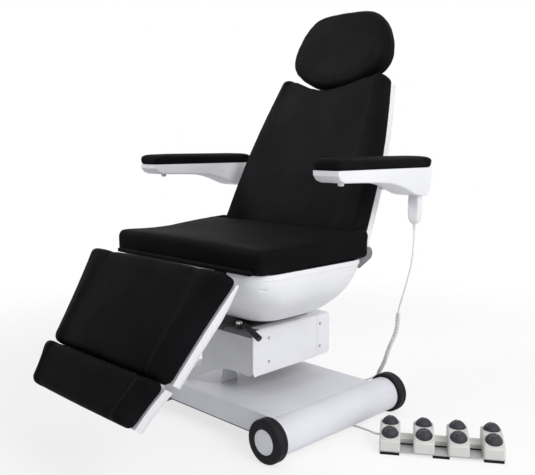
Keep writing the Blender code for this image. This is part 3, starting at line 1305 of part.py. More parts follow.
seat_board()
seat_pan()
seat_cushion()
knee_flap()
hinge_bracket("hinge_bracket_left", 1)
hinge_bracket("hinge_bracket_right", -1)
seat_actuator("back_actuator", ACTUATOR_X, BACK_ACTUATOR_Y)
seat_actuator("leg_actuator", -ACTUATOR_X, LEG_ACTUATOR_Y)

back_shell()
back_cushion()
arm_shaft()
headrest_bar()
headrest_plate()
headrest_cushion()
for side, sign in (("left", 1), ("right", -1)):
    arm_shell(side, sign)
    arm_pad(side, sign)
leg_shell()
leg_cushion()
foot_shell()
foot_cushion()

handset()
cord("handset_cord_upper", smooth_route(UPPER_ROUTE, 24), CORD_R, 2, arm_bodies["left"])
curls = coil_points()
print("least gap between curls: %.2f mm" % (least_self_gap(curls, 6) * 1000))
cord("handset_cord_coil", curls, CORD_R, 1)
cord("handset_cord_lower", smooth_route(LOWER_ROUTE, 16), CORD_R, 2)
cord("pedal_cord", smooth_route(PEDAL_ROUTE, 20), PEDAL_CORD_R, 2)

pedal_housing()
pedal_plate()
pedal_mat()
for index, x in enumerate(pedal_places(), start=1):
    for word, (seat, up) in zip(("front", "rear"), dome_seats(x)):
        pedal_dome("pedal_%d_%s" % (index, word), seat, up)
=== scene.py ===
# Electric treatment chair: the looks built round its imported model
import json
from math import cos, exp, hypot, pi, radians, sin, sqrt

import bmesh
import bpy
from mathutils import Matrix, Vector
from mathutils.bvhtree import BVHTree

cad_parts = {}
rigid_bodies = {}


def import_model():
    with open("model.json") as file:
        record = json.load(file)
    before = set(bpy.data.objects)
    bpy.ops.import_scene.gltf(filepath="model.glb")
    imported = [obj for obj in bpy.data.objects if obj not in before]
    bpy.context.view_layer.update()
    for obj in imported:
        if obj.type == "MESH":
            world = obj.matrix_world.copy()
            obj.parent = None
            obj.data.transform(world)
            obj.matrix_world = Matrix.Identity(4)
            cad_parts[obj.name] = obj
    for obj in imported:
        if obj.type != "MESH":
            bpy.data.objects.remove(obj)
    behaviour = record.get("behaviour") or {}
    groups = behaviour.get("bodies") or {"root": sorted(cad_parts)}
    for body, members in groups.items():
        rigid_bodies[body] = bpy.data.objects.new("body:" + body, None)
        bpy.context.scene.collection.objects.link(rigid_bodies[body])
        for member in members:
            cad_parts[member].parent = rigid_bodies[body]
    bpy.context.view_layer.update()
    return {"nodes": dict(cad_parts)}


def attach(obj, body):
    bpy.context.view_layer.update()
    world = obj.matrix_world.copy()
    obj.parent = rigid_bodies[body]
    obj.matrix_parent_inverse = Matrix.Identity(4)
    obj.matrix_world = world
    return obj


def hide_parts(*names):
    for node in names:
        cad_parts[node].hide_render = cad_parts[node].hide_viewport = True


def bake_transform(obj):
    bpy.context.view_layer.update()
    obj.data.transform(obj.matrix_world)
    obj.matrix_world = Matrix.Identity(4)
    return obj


for leftover in list(bpy.data.objects):
    bpy.data.objects.remove(leftover, do_unlink=True)
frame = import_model()
nodes = frame["nodes"]
scene = bpy.context.scene
sides = (("left", 1), ("right", -1))  # the chair's left is at positive x
print("frame loaded with", len(nodes), "nodes")


# camera at the photograph's viewing angle
photoView = {"place": (1.468, -1.454, 0.80), "look": (-0.704, 0.698, -0.1317), "lens": 47.78, "sensor": 36.0}

lensData = bpy.data.cameras.new("photoCamera")
lensData.lens = photoView["lens"]
lensData.sensor_width = photoView["sensor"]
photoCamera = bpy.data.objects.new("photoCamera", lensData)
photoCamera.location = photoView["place"]
photoCamera.rotation_euler = Vector(photoView["look"]).to_track_quat("-Z", "Y").to_euler()
scene.collection.objects.link(photoCamera)
scene.camera = photoCamera
scene.view_settings.view_transform = "Standard"
print("camera set")


# shader maths: a socket that can be added, subtracted and multiplied
class Wire:
    def __init__(self, tree, socket):
        self.tree = tree
        self.socket = socket

    def node(self, kind, settings=None, sockets=None, out=0):
        made = self.tree.nodes.new(kind)
        for key, value in (settings or {}).items():
            setattr(made, key, value)
        for key, value in (sockets or {}).items():
            if isinstance(value, Wire):
                self.tree.links.new(value.socket, made.inputs[key])
            else:
                made.inputs[key].default_value = value
        return Wire(self.tree, made.outputs[out])

    def sum(self, operation, first, second=0.0):
        return self.node("ShaderNodeMath", {"operation": operation}, {0: first, 1: second})

    def __add__(self, other):
        return self.sum("ADD", self, other)

    __radd__ = __add__

    def __sub__(self, other):
        return self.sum("SUBTRACT", self, other)

    def __rsub__(self, other):
        return self.sum("SUBTRACT", other, self)

    def __mul__(self, other):
        return self.sum("MULTIPLY", self, other)

    __rmul__ = __mul__

    def noise(self, scale, detail=3.0, roughness=0.5):
        return self.node("ShaderNodeTexNoise", None,
                         {"Vector": self, "Scale": scale, "Detail": detail, "Roughness": roughness})

    def cells(self, scale, feature="F1"):
        return self.node("ShaderNodeTexVoronoi", {"feature": feature}, {"Vector": self, "Scale": scale})

    def band(self, low, high):
        return self.node("ShaderNodeMapRange", {"interpolation_type": "SMOOTHSTEP"},
                         {"Value": self, "From Min": low, "From Max": high})

    def tint(self, first, second):
        return self.node("ShaderNodeMix", {"data_type": "RGBA"}, {0: self, 6: (*first, 1.0), 7: (*second, 1.0)}, 2)


def newFinish(name, **fixed):
    paint = bpy.data.materials.new(name)
    paint.use_nodes = True
    tree = paint.node_tree
    shader = tree.nodes["Principled BSDF"]
    for key, value in fixed.items():
        shader.inputs[key.replace("_", " ")].default_value = value
    coords = tree.nodes.new("ShaderNodeTexCoord")
    return paint, shader, Wire(tree, coords.outputs["Object"])


def feed(shader, key, wire):
    wire.tree.links.new(wire.socket, shader.inputs[key])


def relief(shader, height, strength, distance):
    bump = height.node("ShaderNodeBump", None, {"Height": height, "Strength": strength, "Distance": distance})
    feed(shader, "Normal", bump)


# charcoal leatherette: pebble grain, darker creases, cloudy tone, and a stitched seam where a pad has one
leatherLook = {"dark": (0.0036, 0.0037, 0.0041), "light": (0.0064, 0.0066, 0.0073), "rough": 0.58, "shine": 0.022,
               "grain": 620.0, "clouds": 9.0, "fine": 1500.0, "bump": (0.30, 0.0006),
               "seamHalf": 0.0009, "stitchAway": 0.0046, "stitchHalf": 0.0005, "stitchPitch": 0.0042}


def leatherFinish(name, seam=None):
    look = leatherLook
    paint, shader, spot = newFinish(name, Specular_IOR_Level=look["shine"])
    pebble = spot.cells(look["grain"], "SMOOTH_F1")
    crease = spot.cells(look["grain"] * 0.55, "DISTANCE_TO_EDGE")
    cloud = spot.noise(look["clouds"], 4.0, 0.6)
    fine = spot.noise(look["fine"], 2.0)
    tone = cloud.band(0.30, 0.72) * 0.7 + crease.band(0.0, 0.09) * 0.3
    height = pebble * -0.55 + crease.band(0.0, 0.12) * 0.45 + fine * 0.12
    if seam:
        place, slope, level = seam
        across = spot.node("ShaderNodeSeparateXYZ", None, {0: spot}, 0)
        upward = spot.node("ShaderNodeSeparateXYZ", None, {0: spot}, 2)
        away = spot.sum("ABSOLUTE", spot.sum("ABSOLUTE", across) - (upward - level) * slope - place)
        line = 1.0 - away.band(look["seamHalf"], look["seamHalf"] * 2.4)
        fromRow = spot.sum("ABSOLUTE", away - look["stitchAway"])
        row = 1.0 - fromRow.band(look["stitchHalf"], look["stitchHalf"] * 2.0)
        thread = row * spot.sum("PINGPONG", upward, look["stitchPitch"] / 2).band(0.0005, 0.0009)
        height = height - line * 3.0 + thread * 0.9
        tone = tone * (1.0 - line * 0.8) + thread * 0.25
    feed(shader, "Base Color", tone.tint(look["dark"], look["light"]))
    feed(shader, "Roughness", look["rough"] - 0.10 * cloud + 0.10 * pebble)
    relief(shader, height, *look["bump"])
    return paint


# painted and moulded finishes: colour, second tone, roughness, peel scale and depth
paintLooks = {
    "whiteMoulding": ((0.735, 0.737, 0.760), (0.770, 0.772, 0.790), 0.32, 260.0, 0.05),
    "liftWhite": ((0.775, 0.777, 0.800), (0.805, 0.807, 0.828), 0.34, 300.0, 0.06),
    # liftWhitePaintedShade: a darker copy of the lift housing's white for the panel at its foot end, as painted
    # shade
    "liftWhitePaintedShade": ((0.560, 0.562, 0.570), (0.600, 0.602, 0.610), 0.45, 300.0, 0.06),
    "basePaint": ((0.705, 0.703, 0.755), (0.740, 0.738, 0.785), 0.36, 420.0, 0.10),
    "bracketGrey": ((0.150, 0.150, 0.158), (0.185, 0.185, 0.192), 0.42, 500.0, 0.10),
    "blackPlastic": ((0.007, 0.007, 0.008), (0.012, 0.012, 0.013), 0.40, 700.0, 0.10),
    "cordWhite": ((0.690, 0.690, 0.680), (0.740, 0.740, 0.730), 0.48, 900.0, 0.06),
    "pedalGrey": ((0.610, 0.608, 0.585), (0.655, 0.652, 0.632), 0.42, 520.0, 0.12),
}


def paintFinish(name):
    first, second, rough, peel, depth = paintLooks[name]
    paint, shader, spot = newFinish(name, Specular_IOR_Level=0.35)
    cloud = spot.noise(7.0, 4.0, 0.55)
    skin = spot.noise(peel, 2.0, 0.4)
    speck = spot.cells(peel * 0.4)
    feed(shader, "Base Color", cloud.band(0.35, 0.68).tint(first, second))
    feed(shader, "Roughness", rough + 0.12 * (cloud - 0.5) + 0.06 * speck)
    relief(shader, skin, depth, 0.0008)
    return paint


def rubberFinish(name, dark, light, rough, scale):
    paint, shader, spot = newFinish(name, Specular_IOR_Level=0.20)
    cloud = spot.noise(24.0, 4.0, 0.6)
    grit = spot.noise(scale, 3.0, 0.6)
    feed(shader, "Base Color", (cloud * 0.6 + grit * 0.4).band(0.30, 0.72).tint(dark, light))
    feed(shader, "Roughness", rough + 0.16 * (grit - 0.5))
    relief(shader, grit, 0.18, 0.0006)
    return paint


def metalFinish(name, first, second, rough, metallic, grain):
    paint, shader, spot = newFinish(name, Metallic=metallic)
    stretched = spot.node("ShaderNodeMapping", None, {"Vector": spot, "Scale": (1.0, 14.0, 14.0)})
    brushed = stretched.noise(grain, 3.0, 0.6)
    cloud = spot.noise(12.0, 3.0)
    feed(shader, "Base Color", (brushed * 0.6 + cloud * 0.4).band(0.3, 0.7).tint(first, second))
    feed(shader, "Roughness", rough + 0.16 * (brushed - 0.5))
    relief(shader, brushed, 0.06, 0.0003)
    return paint


leather = leatherFinish("charcoalLeatherette")
whiteMoulding = paintFinish("whiteMoulding")
liftWhite = paintFinish("liftWhite")
liftWhitePaintedShade = paintFinish("liftWhitePaintedShade")
basePaint = paintFinish("basePaint")
bracketGrey = paintFinish("bracketGrey")
blackPlastic = paintFinish("blackPlastic")
cordWhite = paintFinish("cordWhite")
pedalGrey = paintFinish("pedalGrey")
blackRubber = rubberFinish("blackRubber", (0.0045, 0.0047, 0.0060), (0.0095, 0.0098, 0.0120), 0.56, 900.0)
domeRubber = rubberFinish("domeRubber", (0.030, 0.031, 0.037), (0.052, 0.054, 0.062), 0.48, 700.0)
darkSteel = metalFinish("darkSteel", (0.070, 0.070, 0.076), (0.110, 0.110, 0.116), 0.48, 0.6, 30.0)
brightSteel = metalFinish("brightSteel", (0.62, 0.62, 0.63), (0.78, 0.78, 0.79), 0.24, 1.0, 60.0)
screwSteel = metalFinish("screwSteel", (0.20, 0.20, 0.21), (0.28, 0.28, 0.29), 0.38, 0.9, 60.0)
# the raised signs are painted lighter than the domes' rubber: painted highlight on their ribs
signPaintedHighlight = rubberFinish("signPaintedHighlight", (0.130, 0.132, 0.142), (0.170, 0.172, 0.182), 0.45, 700.0)
plateSteel = metalFinish("plateSteel", (0.40, 0.40, 0.41), (0.50, 0.50, 0.51), 0.36, 0.9, 40.0)
print("finishes made")


# cords: the handset lead hangs from the handset, curls, and goes into the base; the foot control has a short lead
handsetLead = {"diameter": 0.0044, "curl": 0.0046, "turns": 34, "perTurn": 12, "drop": 0.012, "lead": 0.010,
               "gland": 0.014, "upperPoints": 58, "lowerPoints": 22}
topOfLead = Vector((0.370, 0.206, 0.5634))
topOfCurls = Vector((0.330, 0.199, 0.330))
footOfCurls = Vector((0.178, 0.308, 0.078))
glandFace = Vector((0.095, 0.2013, 0.068))
intoCurls = Vector((-0.30, 0.24, -0.92)).normalized() * handsetLead["lead"]
outOfCurls = Vector((-0.72, 0.25, -0.65)).normalized() * handsetLead["lead"]
upperStops = [topOfLead, topOfLead - Vector((0, 0, handsetLead["drop"])), Vector((0.371, 0.197, 0.477)),
              Vector((0.360, 0.186, 0.405)), topOfCurls - intoCurls, topOfCurls]
curlStops = [topOfCurls, topOfCurls + intoCurls, Vector((0.305, 0.226, 0.262)), Vector((0.268, 0.244, 0.196)),
             Vector((0.224, 0.282, 0.134)), footOfCurls - outOfCurls, footOfCurls]
lowerStops = [footOfCurls, footOfCurls + outOfCurls, Vector((0.140, 0.304, 0.054)), Vector((0.108, 0.275, 0.056)),
              glandFace + Vector((0, handsetLead["gland"], 0)), glandFace]
pedalLead = {"diameter": 0.0050, "drop": 0.008, "lead": 0.012, "points": 26}
pedalEntry = Vector((0.192, 0.060, 0.028))
pedalSocket = Vector((0.39231, 0.03645, 0.0291))
pedalOut = Vector((-0.82511, -0.56497, 0))
pedalStops = [pedalEntry, pedalEntry - Vector((0, 0, pedalLead["drop"])), Vector((0.199, 0.062, 0.0085)),
              Vector((0.220, 0.069, 0.0042)), Vector((0.258, 0.080, 0.0036)), Vector((0.312, 0.082, 0.0040)),
              pedalSocket + pedalOut * pedalLead["lead"], pedalSocket]


def smoothRoute(stops, count):
    route = [stops[0]]
    spans = len(stops) - 3
    for index in range(count):
        along = index / (count - 1) * spans
        span = min(int(along), spans - 1)
        t = along - span
        before, start, end, after = stops[span:span + 4]
        route.append(0.5 * (2 * start + (end - before) * t + (2 * before - 5 * start + 4 * end - after) * t ** 2
                            + (3 * start - before - 3 * end + after) * t ** 3))
    return route + [stops[-1]]


def curledRoute():
    perTurn = handsetLead["perTurn"]
    count = handsetLead["turns"] * perTurn
    middle = smoothRoute(curlStops, count + 1)[1:-1]
    route = [curlStops[0]]
    for index, centre in enumerate(middle):
        along = (middle[min(index + 1, count)] - middle[max(index - 1, 0)]).normalized()
        side = along.cross(Vector((0, 1, 0))).normalized()
        out = along.cross(side)
        grow = min(1.0, index / perTurn, (count - index) / perTurn)
        angle = 2 * pi * index / perTurn
        route.append(centre + (side * cos(angle) + out * sin(angle)) * handsetLead["curl"] * grow)
    return route + [curlStops[-1]]


def routeLength(route):
    return sum((after - before).length for before, after in zip(route, route[1:]))


def cordPiece(name, route, diameter):
    line = bpy.data.curves.new(name, "CURVE")
    line.dimensions = "3D"
    line.bevel_depth = diameter / 2
    line.bevel_resolution = 3
    line.use_fill_caps = True
    spline = line.splines.new("POLY")
    spline.points.add(len(route) - 1)
    for point, place in zip(spline.points, route):
        point.co = (*place, 1.0)
    line.materials.append(cordWhite)
    piece = bpy.data.objects.new(name, line)
    scene.collection.objects.link(piece)
    return piece


def meshOf(piece, name):
    # the piece with its modifiers as a plain mesh, in a new object at the origin
    bpy.context.view_layer.update()
    graph = bpy.context.evaluated_depsgraph_get()
    made = bpy.data.objects.new(name, bpy.data.meshes.new_from_object(piece.evaluated_get(graph)))
    scene.collection.objects.link(made)
    bpy.data.objects.remove(piece, do_unlink=True)
    return made


def fixedLead(name, route, node, diameter):
    # a cord that stays with the base from end to end
    lead = cordPiece(name, route, diameter)
    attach(lead, "base")
    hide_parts(node)
    routeLength(route)


# the handset lead crosses six joints, so it is cut into one stretch for each joint, listed with the joint's two
# bodies
# a stretch ends at a share of the straight lead, or past it at a number of curls
leadStretches = [
    ("handsetLeadUpper", 0.38, 0, "arm_left", "back"),
    ("handsetLeadMiddle", 0.70, 0, "back", "seat"),
    ("handsetLeadLow", 0.86, 0, "seat", "swivel"),
    ("handsetCurlsTop", 1.0, 8, "swivel", "carrier"),
    ("handsetCurlsMiddle", 1.0, 13, "carrier", "lift_arm_body"),
    ("handsetCurlsFoot", 1.0, 34, "lift_arm_body", "base"),
]
upperRoute = smoothRoute(upperStops, handsetLead["upperPoints"])
wholeRoute = upperRoute + curledRoute()[1:]
begin = 0
for name, share, turns, above, below in leadStretches:
    stop = int(share * (len(upperRoute) - 1)) + turns * handsetLead["perTurn"]
    if turns == handsetLead["turns"]:
        stop = len(wholeRoute) - 1
    route = wholeRoute[begin:stop + 1]
    lead = meshOf(cordPiece(name + "Line", route, handsetLead["diameter"]), name)
    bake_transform(lead)
    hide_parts("handset_cord_coil" if turns else "handset_cord_upper")
    routeLength(route)
    begin = stop

fixedLead("handsetLeadLower", smoothRoute(lowerStops, handsetLead["lowerPoints"]), "handset_cord_lower",
          handsetLead["diameter"])
fixedLead("footControlLead", smoothRoute(pedalStops, pedalLead["points"]), "pedal_cord",
          pedalLead["diameter"])
print("cords laid")


# padded pieces: each starts from its solid's form, is stuffed by a cloth run, then gets its seams
def sidePlane(origin, along, outward):
    return {"origin": Vector((0, *origin)), "along": Vector((0, *along)), "outward": Vector((0, *outward))}


backLean = radians(24.76)
legDrop = radians(54.6)
headLean = radians(14.7)
backPlane = sidePlane((0.0474, 0.5314), (sin(backLean), cos(backLean)), (-cos(backLean), sin(backLean)))
legPlane = sidePlane((-0.4168, 0.5226), (-cos(legDrop), -sin(legDrop)), (-sin(legDrop), cos(legDrop)))
headPlane = sidePlane((0.30443, 1.09136), (sin(headLean), cos(headLean)), (-cos(headLean), sin(headLean)))
seatPlane = sidePlane((-0.320, 0.488), (1, 0), (0, 1))
armPlane = sidePlane((-0.165, 0.735), (1, 0), (0, 1))

# seam: place across, slope and the level it starts from; flare: top, foot and growth; reach: the end and how far
padLooks = {
    "seatPad": {"node": "seat_cushion", "body": "seat", "plane": seatPlane, "low": 0.0, "voxel": 0.0060,
                "fill": 0.85},
    "backPad": {"node": "back_cushion", "body": "back", "plane": backPlane, "low": -0.0617, "voxel": 0.0060,
                "fill": 0.8, "seam": (0.170, 0.0, 0.0), "flare": (-0.012, -0.045, 0.030)},
    "headPad": {"node": "headrest_cushion", "body": "headrest", "plane": headPlane, "low": -0.0577, "voxel": 0.0050,
                "fill": 0.85, "flare": (-0.002, -0.034, 0.050), "flareEnds": True},
    "legPad": {"node": "leg_cushion", "body": "leg_rest", "plane": legPlane, "low": -0.0577, "voxel": 0.0055,
               "fill": 0.8, "seam": (0.180, 0.0, 0.0), "flare": (0.006, -0.040, 0.028), "reach": (0.282, 0.0020)},
    "footPad": {"node": "foot_cushion", "body": "foot_rest", "plane": legPlane, "low": -0.0429, "voxel": 0.0050,
                "fill": 0.8, "seam": (0.162, 0.226, 0.2015), "flare": (0.020, -0.026, 0.028),
                "reach": (0.287, -0.0020)},
    "armPadLeft": {"node": "arm_pad_left", "body": "arm_left", "plane": armPlane, "low": 0.0, "voxel": 0.0040,
                   "fill": 0.9},
    "armPadRight": {"node": "arm_pad_right", "body": "arm_right", "plane": armPlane, "low": 0.0, "voxel": 0.0040,
                    "fill": 0.9},
    "kneeRoll": {"node": "knee_flap", "body": "seat", "plane": seatPlane, "low": -0.1, "voxel": 0.0025, "fill": 0.7,
                 "cap": 0.001},
}
stuffing = {"rounded": 3, "smaller": 0.0025, "flat": 0.0012, "held": 0.004, "cap": 0.006, "frames": 20,
            "swollen": 0.35, "sunken": 0.15, "evened": 2, "seamSwell": 0.0030, "seamWidth": 0.009, "seamFade": 1.4,
            "reachOver": 0.020}
clothSettings = {"quality": 4, "mass": 0.25, "tension_stiffness": 12, "compression_stiffness": 12,
                 "shear_stiffness": 6, "bending_stiffness": 1.5, "use_pressure": True, "uniform_pressure_force": 4.0}


def mergedCopy(node):
    shape = bmesh.new()
    shape.from_mesh(nodes[node].data)
    bmesh.ops.remove_doubles(shape, verts=shape.verts, dist=1e-5)
    return shape


def pieceFrom(shape, name, paint, smoothAngle=None):
    mesh = bpy.data.meshes.new(name)
    shape.to_mesh(mesh)
    shape.free()
    mesh.materials.append(paint)
    mesh.shade_smooth()
    if smoothAngle:
        mesh.set_sharp_from_angle(angle=radians(smoothAngle))
    piece = bpy.data.objects.new(name, mesh)
    scene.collection.objects.link(piece)
    return piece


def remeshed(piece, name, voxel):
    blocks = piece.modifiers.new("blocks", "REMESH")
    blocks.mode = "VOXEL"
    blocks.voxel_size = voxel
    blocks.use_smooth_shade = True
    return meshOf(piece, name)


def heightOver(place, look):
    return (place - look["plane"]["origin"]).dot(look["plane"]["outward"])


def evened(shape, rounds):
    for step in range(rounds):
        bmesh.ops.smooth_vert(shape, verts=shape.verts, factor=0.5,
                              use_axis_x=True, use_axis_y=True, use_axis_z=True)


def settle(shape, look):
    # the underside lies flat on what carries it
    for vert in shape.verts:
        height = heightOver(vert.co, look)
        if height < look["low"] + stuffing["flat"]:
            vert.co += look["plane"]["outward"] * (look["low"] - height)


def reshaped(piece, look, change):
    shape = bmesh.new()
    shape.from_mesh(piece.data)
    shape.normal_update()
    change(shape)
    settle(shape, look)
    shape.to_mesh(piece.data)
    shape.free()


def drawnIn(shape):
    # a little smaller and rounder, ready to be stuffed
    evened(shape, stuffing["rounded"])
    shape.normal_update()
    for vert in shape.verts:
        vert.co -= vert.normal * stuffing["smaller"]


def stuffed(pads):
    for name, pad in pads.items():
        look = padLooks[name]
        held = pad.vertex_groups.new(name="held")
        for vert in pad.data.vertices:
            if heightOver(vert.co, look) < look["low"] + stuffing["held"]:
                held.add([vert.index], 1.0, "REPLACE")
        cloth = pad.modifiers.new("stuffing", "CLOTH")
        for key, value in clothSettings.items():
            setattr(cloth.settings, key, value)
        cloth.settings.effector_weights.gravity = 0
        cloth.settings.vertex_group_mass = "held"
        cloth.collision_settings.use_collision = False
        cloth.point_cache.frame_start = 1
        cloth.point_cache.frame_end = stuffing["frames"]
    for step in range(1, stuffing["frames"] + 1):
        scene.frame_set(step)
    graph = bpy.context.evaluated_depsgraph_get()
    for name, pad in pads.items():
        puffed = [vert.co.copy() for vert in pad.evaluated_get(graph).data.vertices]
        pad.modifiers.clear()
        pad.vertex_groups.clear()
        limit = padLooks[name].get("cap", stuffing["cap"])
        for vert, target in zip(pad.data.vertices, puffed):
            move = target - vert.co
            vert.co += move * min(1.0, limit / max(move.length, 1e-9))
    scene.frame_set(1)


def seamed(vert, look):
    # fuller along the seams, where the pad faces out
    outward = look["plane"]["outward"]
    place, slope, level = look["seam"]
    away = (abs(vert.co.x) - place - slope * (vert.co.z - level)) / stuffing["seamWidth"]
    facing = max(0.0, min(1.0, vert.normal.dot(outward) * stuffing["seamFade"]))
    vert.co += outward * stuffing["seamSwell"] * exp(-away * away) * facing


def filled(vert, look):
    # sides that spread towards the shell, and an end that comes up to the next pad
    along = look["plane"]["along"]
    step = vert.co - look["plane"]["origin"]
    if "flare" in look:
        top, low, grow = look["flare"]
        share = max(0.0, min(1.0, (step.dot(look["plane"]["outward"]) - top) / (low - top)))
        spread = grow * share * share * (3 - 2 * share)
        vert.co.x += step.x * spread
        if "flareEnds" in look:
            vert.co += along * step.dot(along) * spread
    if "reach" in look:
        end, way = look["reach"]
        vert.co += along * way * max(0.0, 1 - abs(step.dot(along) - end) / stuffing["reachOver"])


def sewn(pad, look):
    # drawn back towards the solid's own outline, evened out, and filled
    guide = mergedCopy(look["node"])
    surface = BVHTree.FromBMesh(guide)
    guide.free()

    def change(shape):
        for vert in shape.verts:
            near, facing = surface.find_nearest(vert.co)[:2]
            drift = vert.co - near
            vert.co = near + drift * stuffing["swollen" if drift.dot(facing) > 0 else "sunken"]
        evened(shape, stuffing["evened"])
        shape.normal_update()
        for vert in shape.verts:
            if "seam" in look:
                seamed(vert, look)
            filled(vert, look)

    reshaped(pad, look, change)


pads = {}
for name, look in padLooks.items():
    paint = leatherFinish(name + "Leatherette", look["seam"]) if "seam" in look else leather
    pads[name] = remeshed(pieceFrom(mergedCopy(look["node"]), name + "Start", paint), name, look["voxel"])
    reshaped(pads[name], look, drawnIn)
print("pads formed")
stuffed(pads)
print("pads stuffed")
for name, look in padLooks.items():
    pad = pads[name]
    sewn(pad, look)
    finer = pad.modifiers.new("finer", "SUBSURF")
    finer.levels = 1
    finer.render_levels = 1
    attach(pad, look["body"])
    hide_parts(look["node"])
print("pads sewn")


# rigid pieces: shared ways of making them
softEdge = {"angle": 38, "flat": 0.6}


def dress(piece, body, slotName, *replaced):
    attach(piece, body)
    if replaced:
        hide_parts(*replaced)


def softened(node, name, body, slotName, paint, width=0.0012, segments=3, change=None):
    # the solid's own form with its edges rounded over
    shape = mergedCopy(node)
    for vert in shape.verts if change else []:
        change(vert.co)
    bmesh.ops.dissolve_limit(shape, angle_limit=radians(softEdge["flat"]), verts=shape.verts, edges=shape.edges)
    piece = pieceFrom(shape, name, paint, softEdge["angle"])
    edges = piece.modifiers.new("edges", "BEVEL")
    edges.limit_method = "ANGLE"
    edges.angle_limit = radians(softEdge["angle"])
    edges.width = width
    edges.segments = segments
    edges.harden_normals = True
    dress(piece, body, slotName, node)


def spun(shape, profile, centre, axis, steps, closed=False):
    # a turned form; the profile lists radius and height along the axis
    before = set(shape.verts)
    verts = [shape.verts.new((radius, 0, height)) for radius, height in profile]
    edges = [shape.edges.new(pair) for pair in zip(verts, verts[1:])]
    if closed:
        edges.append(shape.edges.new((verts[-1], verts[0])))
    bmesh.ops.spin(shape, geom=verts + edges, cent=(0, 0, 0), axis=(0, 0, 1), angle=2 * pi, steps=steps,
                   use_merge=True)
    turned = [vert for vert in shape.verts if vert not in before]
    place = Matrix.Translation(centre) @ Vector(axis).to_track_quat("Z", "Y").to_matrix().to_4x4()
    bmesh.ops.transform(shape, matrix=place, verts=turned)
    bmesh.ops.remove_doubles(shape, verts=turned, dist=1e-6)
    bmesh.ops.recalc_face_normals(shape, faces=shape.faces)


def rounding(corner, radius, start, end, steps=5):
    # points of a quarter round about its centre, angles in degrees
    points = []
    for step in range(steps + 1):
        angle = radians(start + (end - start) * step / steps)
        points.append((corner[0] + radius * cos(angle), corner[1] + radius * sin(angle)))
    return points


def lofted(shape, rings, capped=False):
    # a skin drawn from ring to ring by extruding the first one's edges
    row = [shape.verts.new(point) for point in rings[0]]
    edges = [shape.edges.new((row[index - 1], row[index])) for index in range(len(row))]
    if capped:
        bmesh.ops.contextual_create(shape, geom=edges)
    for ring in rings[1:]:
        made = bmesh.ops.extrude_edge_only(shape, edges=edges)["geom"]
        fresh = {item for item in made if isinstance(item, bmesh.types.BMVert)}
        edges = [item for item in made if isinstance(item, bmesh.types.BMEdge) and fresh.issuperset(item.verts)]
        row = [next(end for end in (edge.other_vert(vert) for edge in vert.link_edges) if end in fresh)
               for vert in row]
        for vert, point in zip(row, ring):
            vert.co = point
    if capped:
        bmesh.ops.contextual_create(shape, geom=edges)
    bmesh.ops.recalc_face_normals(shape, faces=shape.faces)


# side tubes of the base with their closed ends, and the rubber rings round them
# cap: radius and depth in from the tube's end; tread: depth in from the ring's face and place along it
sideTube = {"x": 0.260, "z": 0.058, "radius": 0.049, "half": 0.2365, "hub": 0.0328, "reach": 0.271, "edge": 0.004,
            "hubEdge": 0.002, "lip": 0.0002, "steps": 96,
            "cap": ((0.0, 0.0006), (0.0262, 0.0006), (0.0268, 0.0014), (0.0276, 0.0014), (0.0282, 0.0))}
footRing = {"outer": 0.058, "inner": 0.0334, "width": 0.0336, "edge": 0.007, "place": 0.254, "lip": 0.004,
            "floor": 0.0003, "steps": 72,
            "tread": ((0.0, -0.0045), (0.0008, -0.0039), (0.0008, 0.0039), (0.0, 0.0045))}


def tubeProfile():
    look = sideTube
    edge = look["edge"]
    hubEdge = look["hubEdge"]
    half = [(radius, look["reach"] - depth) for radius, depth in look["cap"]]
    half += rounding((look["hub"] - hubEdge, look["reach"] - hubEdge), hubEdge, 90, 0)
    half += [(look["hub"], look["half"] + look["lip"]), (look["radius"] - edge, look["half"])]
    half += rounding((look["radius"] - edge, look["half"] - edge), edge, 90, 0)
    return half + [(radius, -height) for radius, height in reversed(half)]


def ringProfile():
    look = footRing
    side = look["width"] / 2
    edge = look["edge"]
    inner = look["inner"]
    lip = inner + look["lip"]
    upper = rounding((look["outer"] - edge, side - edge), edge, 0, 90, 7)
    lower = rounding((look["outer"] - edge, edge - side), edge, -90, 0, 7)
    tread = [(look["outer"] - depth, height) for depth, height in look["tread"]]
    return [(inner, -side), (lip, -side)] + lower + tread + upper + [(lip, side), (inner, side)]


for side, sign in sides:
    shape = bmesh.new()
    spun(shape, tubeProfile(), (sign * sideTube["x"], 0, sideTube["z"]), (0, 1, 0), sideTube["steps"])
    dress(pieceFrom(shape, "sideTube" + side.title(), basePaint, 32), "base", "base_paint", "base_tube_" + side)
    for end, way in (("front", -1), ("rear", 1)):
        shape = bmesh.new()
        middle = (sign * sideTube["x"], way * footRing["place"], sideTube["z"])
        spun(shape, ringProfile(), middle, (0, 1, 0), footRing["steps"], True)
        for vert in shape.verts:
            vert.co.z = max(vert.co.z, footRing["floor"])
        ring = pieceFrom(shape, "footRing" + end.title() + side.title(), blackRubber, 40)
        dress(ring, "base", "rubber", "foot_ring_%s_%s" % (end, side))
print("base made")


# lift housing, its screws, and the panel at its foot end
softened("base_cover", "baseCover", "base", "base_paint", basePaint, 0.0030, 4)
housingCorner = {"y": -0.142, "z": 0.190, "near": 1e-4, "below": 0.1705, "drop": 0.002, "footDrop": 0.005,
                 "footFrom": -0.10, "footOver": 0.06}
pedestalFoot = {"top": 0.1702, "edge": -0.030, "shift": 0.036}


def squareCorner(place):
    # the lower corner at the foot end comes to a point, as the photograph shows
    look = housingCorner
    y = place.y - look["y"]
    z = place.z - look["z"]
    if y < look["near"] and z < look["near"] and max(-y, -z) > look["near"]:
        grow = hypot(y, z) / max(-y, -z)
        place.y = look["y"] + y * grow
        place.z = look["z"] + z * grow
    if place.z < look["below"]:
        share = max(0.0, min(1.0, (look["footFrom"] - place.y) / look["footOver"]))
        place.z -= look["drop"] + look["footDrop"] * share


def slimFoot(place):
    if place.z < pedestalFoot["top"] and 0.0 > place.x > pedestalFoot["edge"]:
        place.x -= pedestalFoot["shift"]


